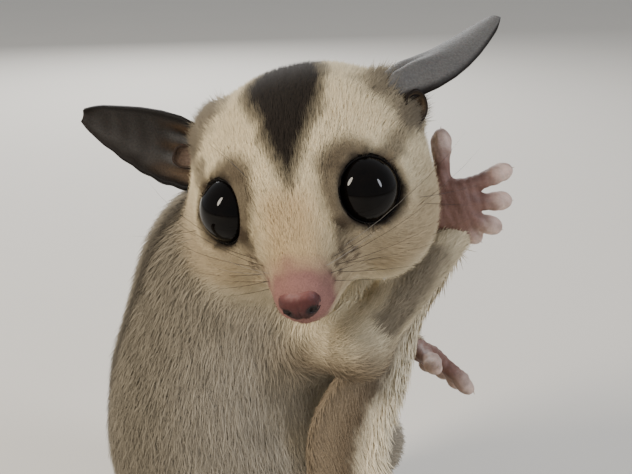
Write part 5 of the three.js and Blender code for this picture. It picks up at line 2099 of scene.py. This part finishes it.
PATAGIA = (
    Patagium(
        Side.RIGHT,
        ((24, -5, 72.4), (16, -14, 66), (8, -18.5, 58), (2, -17, 46), (2, -17, 34), (4, -17, 24)),
        (
            (27, -4.4, 70.2),
            (22, -8.5, 63.6),
            (17.5, -14, 54.5),
            (13, -19.5, 44),
            (13, -22, 34),
            (14, -22.5, 26),
        ),
    ),
    Patagium(
        Side.LEFT,
        ((19, 12, 45), (12, 16, 43.5), (6, 17, 41), (3, 17, 37), (3, 17, 31), (5, 17, 24)),
        (
            (20.5, 13, 41.6),
            (15, 18, 39),
            (11.5, 20.5, 36),
            (10.5, 22, 32.5),
            (12, 22.5, 29),
            (14, 22.5, 25.5),
        ),
    ),
)


@dataclass
class Whiskers:
    """Whiskers on the muzzle, over the eyes and on the cheeks."""

    form: TuftForm = TuftForm((0.0, 0.2, 0.4, 0.6, 0.8), (1.0, 0.85, 0.7, 0.5, 0.3), flatness=0.8)
    width: float = 0.08
    dark: str = "#2c2620"
    pale: str = "#8d8475"
    pale_share: float = 0.2
    seed: int = 5

    def build(self) -> None:
        """Sets every whisker in the skin."""
        rng = np.random.default_rng(self.seed)
        rows = []
        for side in Side:
            for i, place in enumerate(WHISKER_ROOTS):
                length = 9 + 5.5 * (i % 4) + rng.uniform(-2, 2)
                aim = (0.8, 0.1 + 0.16 * (i % 4), 0.3 - 0.24 * (i // 4) + rng.uniform(-0.08, 0.08))
                rows.append((side, place, aim, length))
            for place, aim, length in (
                ((5.2, -3.8, 6.3), (0.35, -0.25, 1.0), 9.0),
                ((6.2, -2.6, 7.0), (0.55, -0.1, 1.0), 7.0),
                ((15.2, 1.0, -3.6), (1.0, -0.2, 0.15), 11.0),
                ((14.8, 1.8, -5.0), (1.0, -0.1, -0.15), 9.0),
            ):
                rows.append((side, place, aim, length))
        beds = HEAD.out([side.mirrored(place) for side, place, _, _ in rows])
        roots = settled(ANATOMY.skin_level, beds, 6)
        normals = unit(slope_of(ANATOMY.skin_level, roots))
        aims = unit(HEAD.aim([side.mirrored(aim) for side, _, aim, _ in rows]))
        lies = laid(aims, normals)
        lean = np.arccos(np.clip(dot(aims, normals), -1, 1))
        lengths = np.array([length for _, _, _, length in rows])
        widths = np.full(len(rows), self.width)
        tint = toward(solid(self.dark, rows), self.pale, rng.random(len(rows)) < self.pale_share)
        rest = lean + 0.35
        whiskers = Tufts(roots, normals, lies, lengths, widths, lean - 0.15, rest, tint, tint, sink=0.4)
        mesh = whiskers.mesh("whiskers", self.form, Unwrap(ANATOMY.guides[Region.HEAD], roots))
        placed(mesh, "whiskers", KERATIN.make())


@dataclass
class Studio:
    """The pale floor, the soft lights and the camera at the photograph's angle."""

    camera_place: Trio = (4.47, -142.14, 123.16)
    camera_tilt: float = 20.0
    focal_pixels: float = 937.0
    image_width: float = 632.0
    sensor: float = 36.0
    floor_size: float = 1.6
    target: Trio = (0, -10, 65)
    sky: str = "#e9ecf0"
    sky_strength: float = 0.55

    def build(self) -> None:
        """Makes the floor, the lights, the surroundings and the camera."""
        self._floor()
        self._light("key", (-450, -320, 480), (110, 320), 5.0, "#fff3e2")
        self._light("fill", (500, -290, 400), (90, 280), 2.2, "#f1f4ff")
        self._light("rim", (-120, 560, 330), (380, 380), 2.8, "#ffffff")
        self._surroundings()
        self._camera()

    def _floor(self) -> None:
        """A wide sheet under the feet."""
        bm = bmesh.new()
        bmesh.ops.create_grid(bm, x_segments=2, y_segments=2, size=self.floor_size)
        floor = link(mesh_of(bm, "floor"), "floor")
        floor.data.materials.append(PAPER.make())

    def _light(self, name: str, place: Trio, size: tuple[float, float], power: float, colour: str) -> None:
        """An oval soft box that looks at the animal."""
        lamp = bpy.data.lights.new(name, "AREA")
        lamp.shape = "ELLIPSE"
        lamp.size, lamp.size_y = size[0] * MM, size[1] * MM
        lamp.energy = power
        lamp.color = linear(colour)
        made = link(lamp, name)
        made.location = Vector(place) * MM
        made.rotation_euler = (Vector(self.target) - Vector(place)).to_track_quat("-Z", "Y").to_euler()

    def _surroundings(self) -> None:
        """An even pale light from all around."""
        world = bpy.data.worlds.new("studio")
        world.use_nodes = True
        background = world.node_tree.nodes["Background"]
        background.inputs["Color"].default_value = (*linear(self.sky), 1)
        background.inputs["Strength"].default_value = self.sky_strength
        bpy.context.scene.world = world

    def _camera(self) -> None:
        """The camera where the photograph was taken from."""
        lens = bpy.data.cameras.new("camera")
        lens.sensor_width = self.sensor
        lens.lens = self.focal_pixels * self.sensor / self.image_width
        lens.clip_start = 0.01
        made = link(lens, "camera")
        made.location = Vector(self.camera_place) * MM
        made.rotation_euler = (math.radians(90 - self.camera_tilt), 0, 0)
        bpy.context.scene.camera = made


ANATOMY = Anatomy()
STRIPE = stripe_line()
MARKINGS = Markings()
HANDS, FEET = hands_and_feet()


def corners(bounds: Sequence[Sequence[float]]) -> list[list[float]]:
    """A box's two corners as plain lists."""
    return [[float(number) for number in corner] for corner in bounds]


def main() -> None:
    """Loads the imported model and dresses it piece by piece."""
    logging.basicConfig(level=logging.INFO, format="%(message)s")
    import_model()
    Studio().build()
    skin = Skin().build()
    Coat(skin).build()
    for eye in EYES:
        Eyeball(eye).build()
    Nose().build()
    for ear in (*EARS, *EAR_LOBES):
        ear.build()
    for paw in (*HANDS, *FEET):
        paw.build()
    for sheet in PATAGIA:
        sheet.build()
    Whiskers().build()


if __name__ == "__main__":
    main()
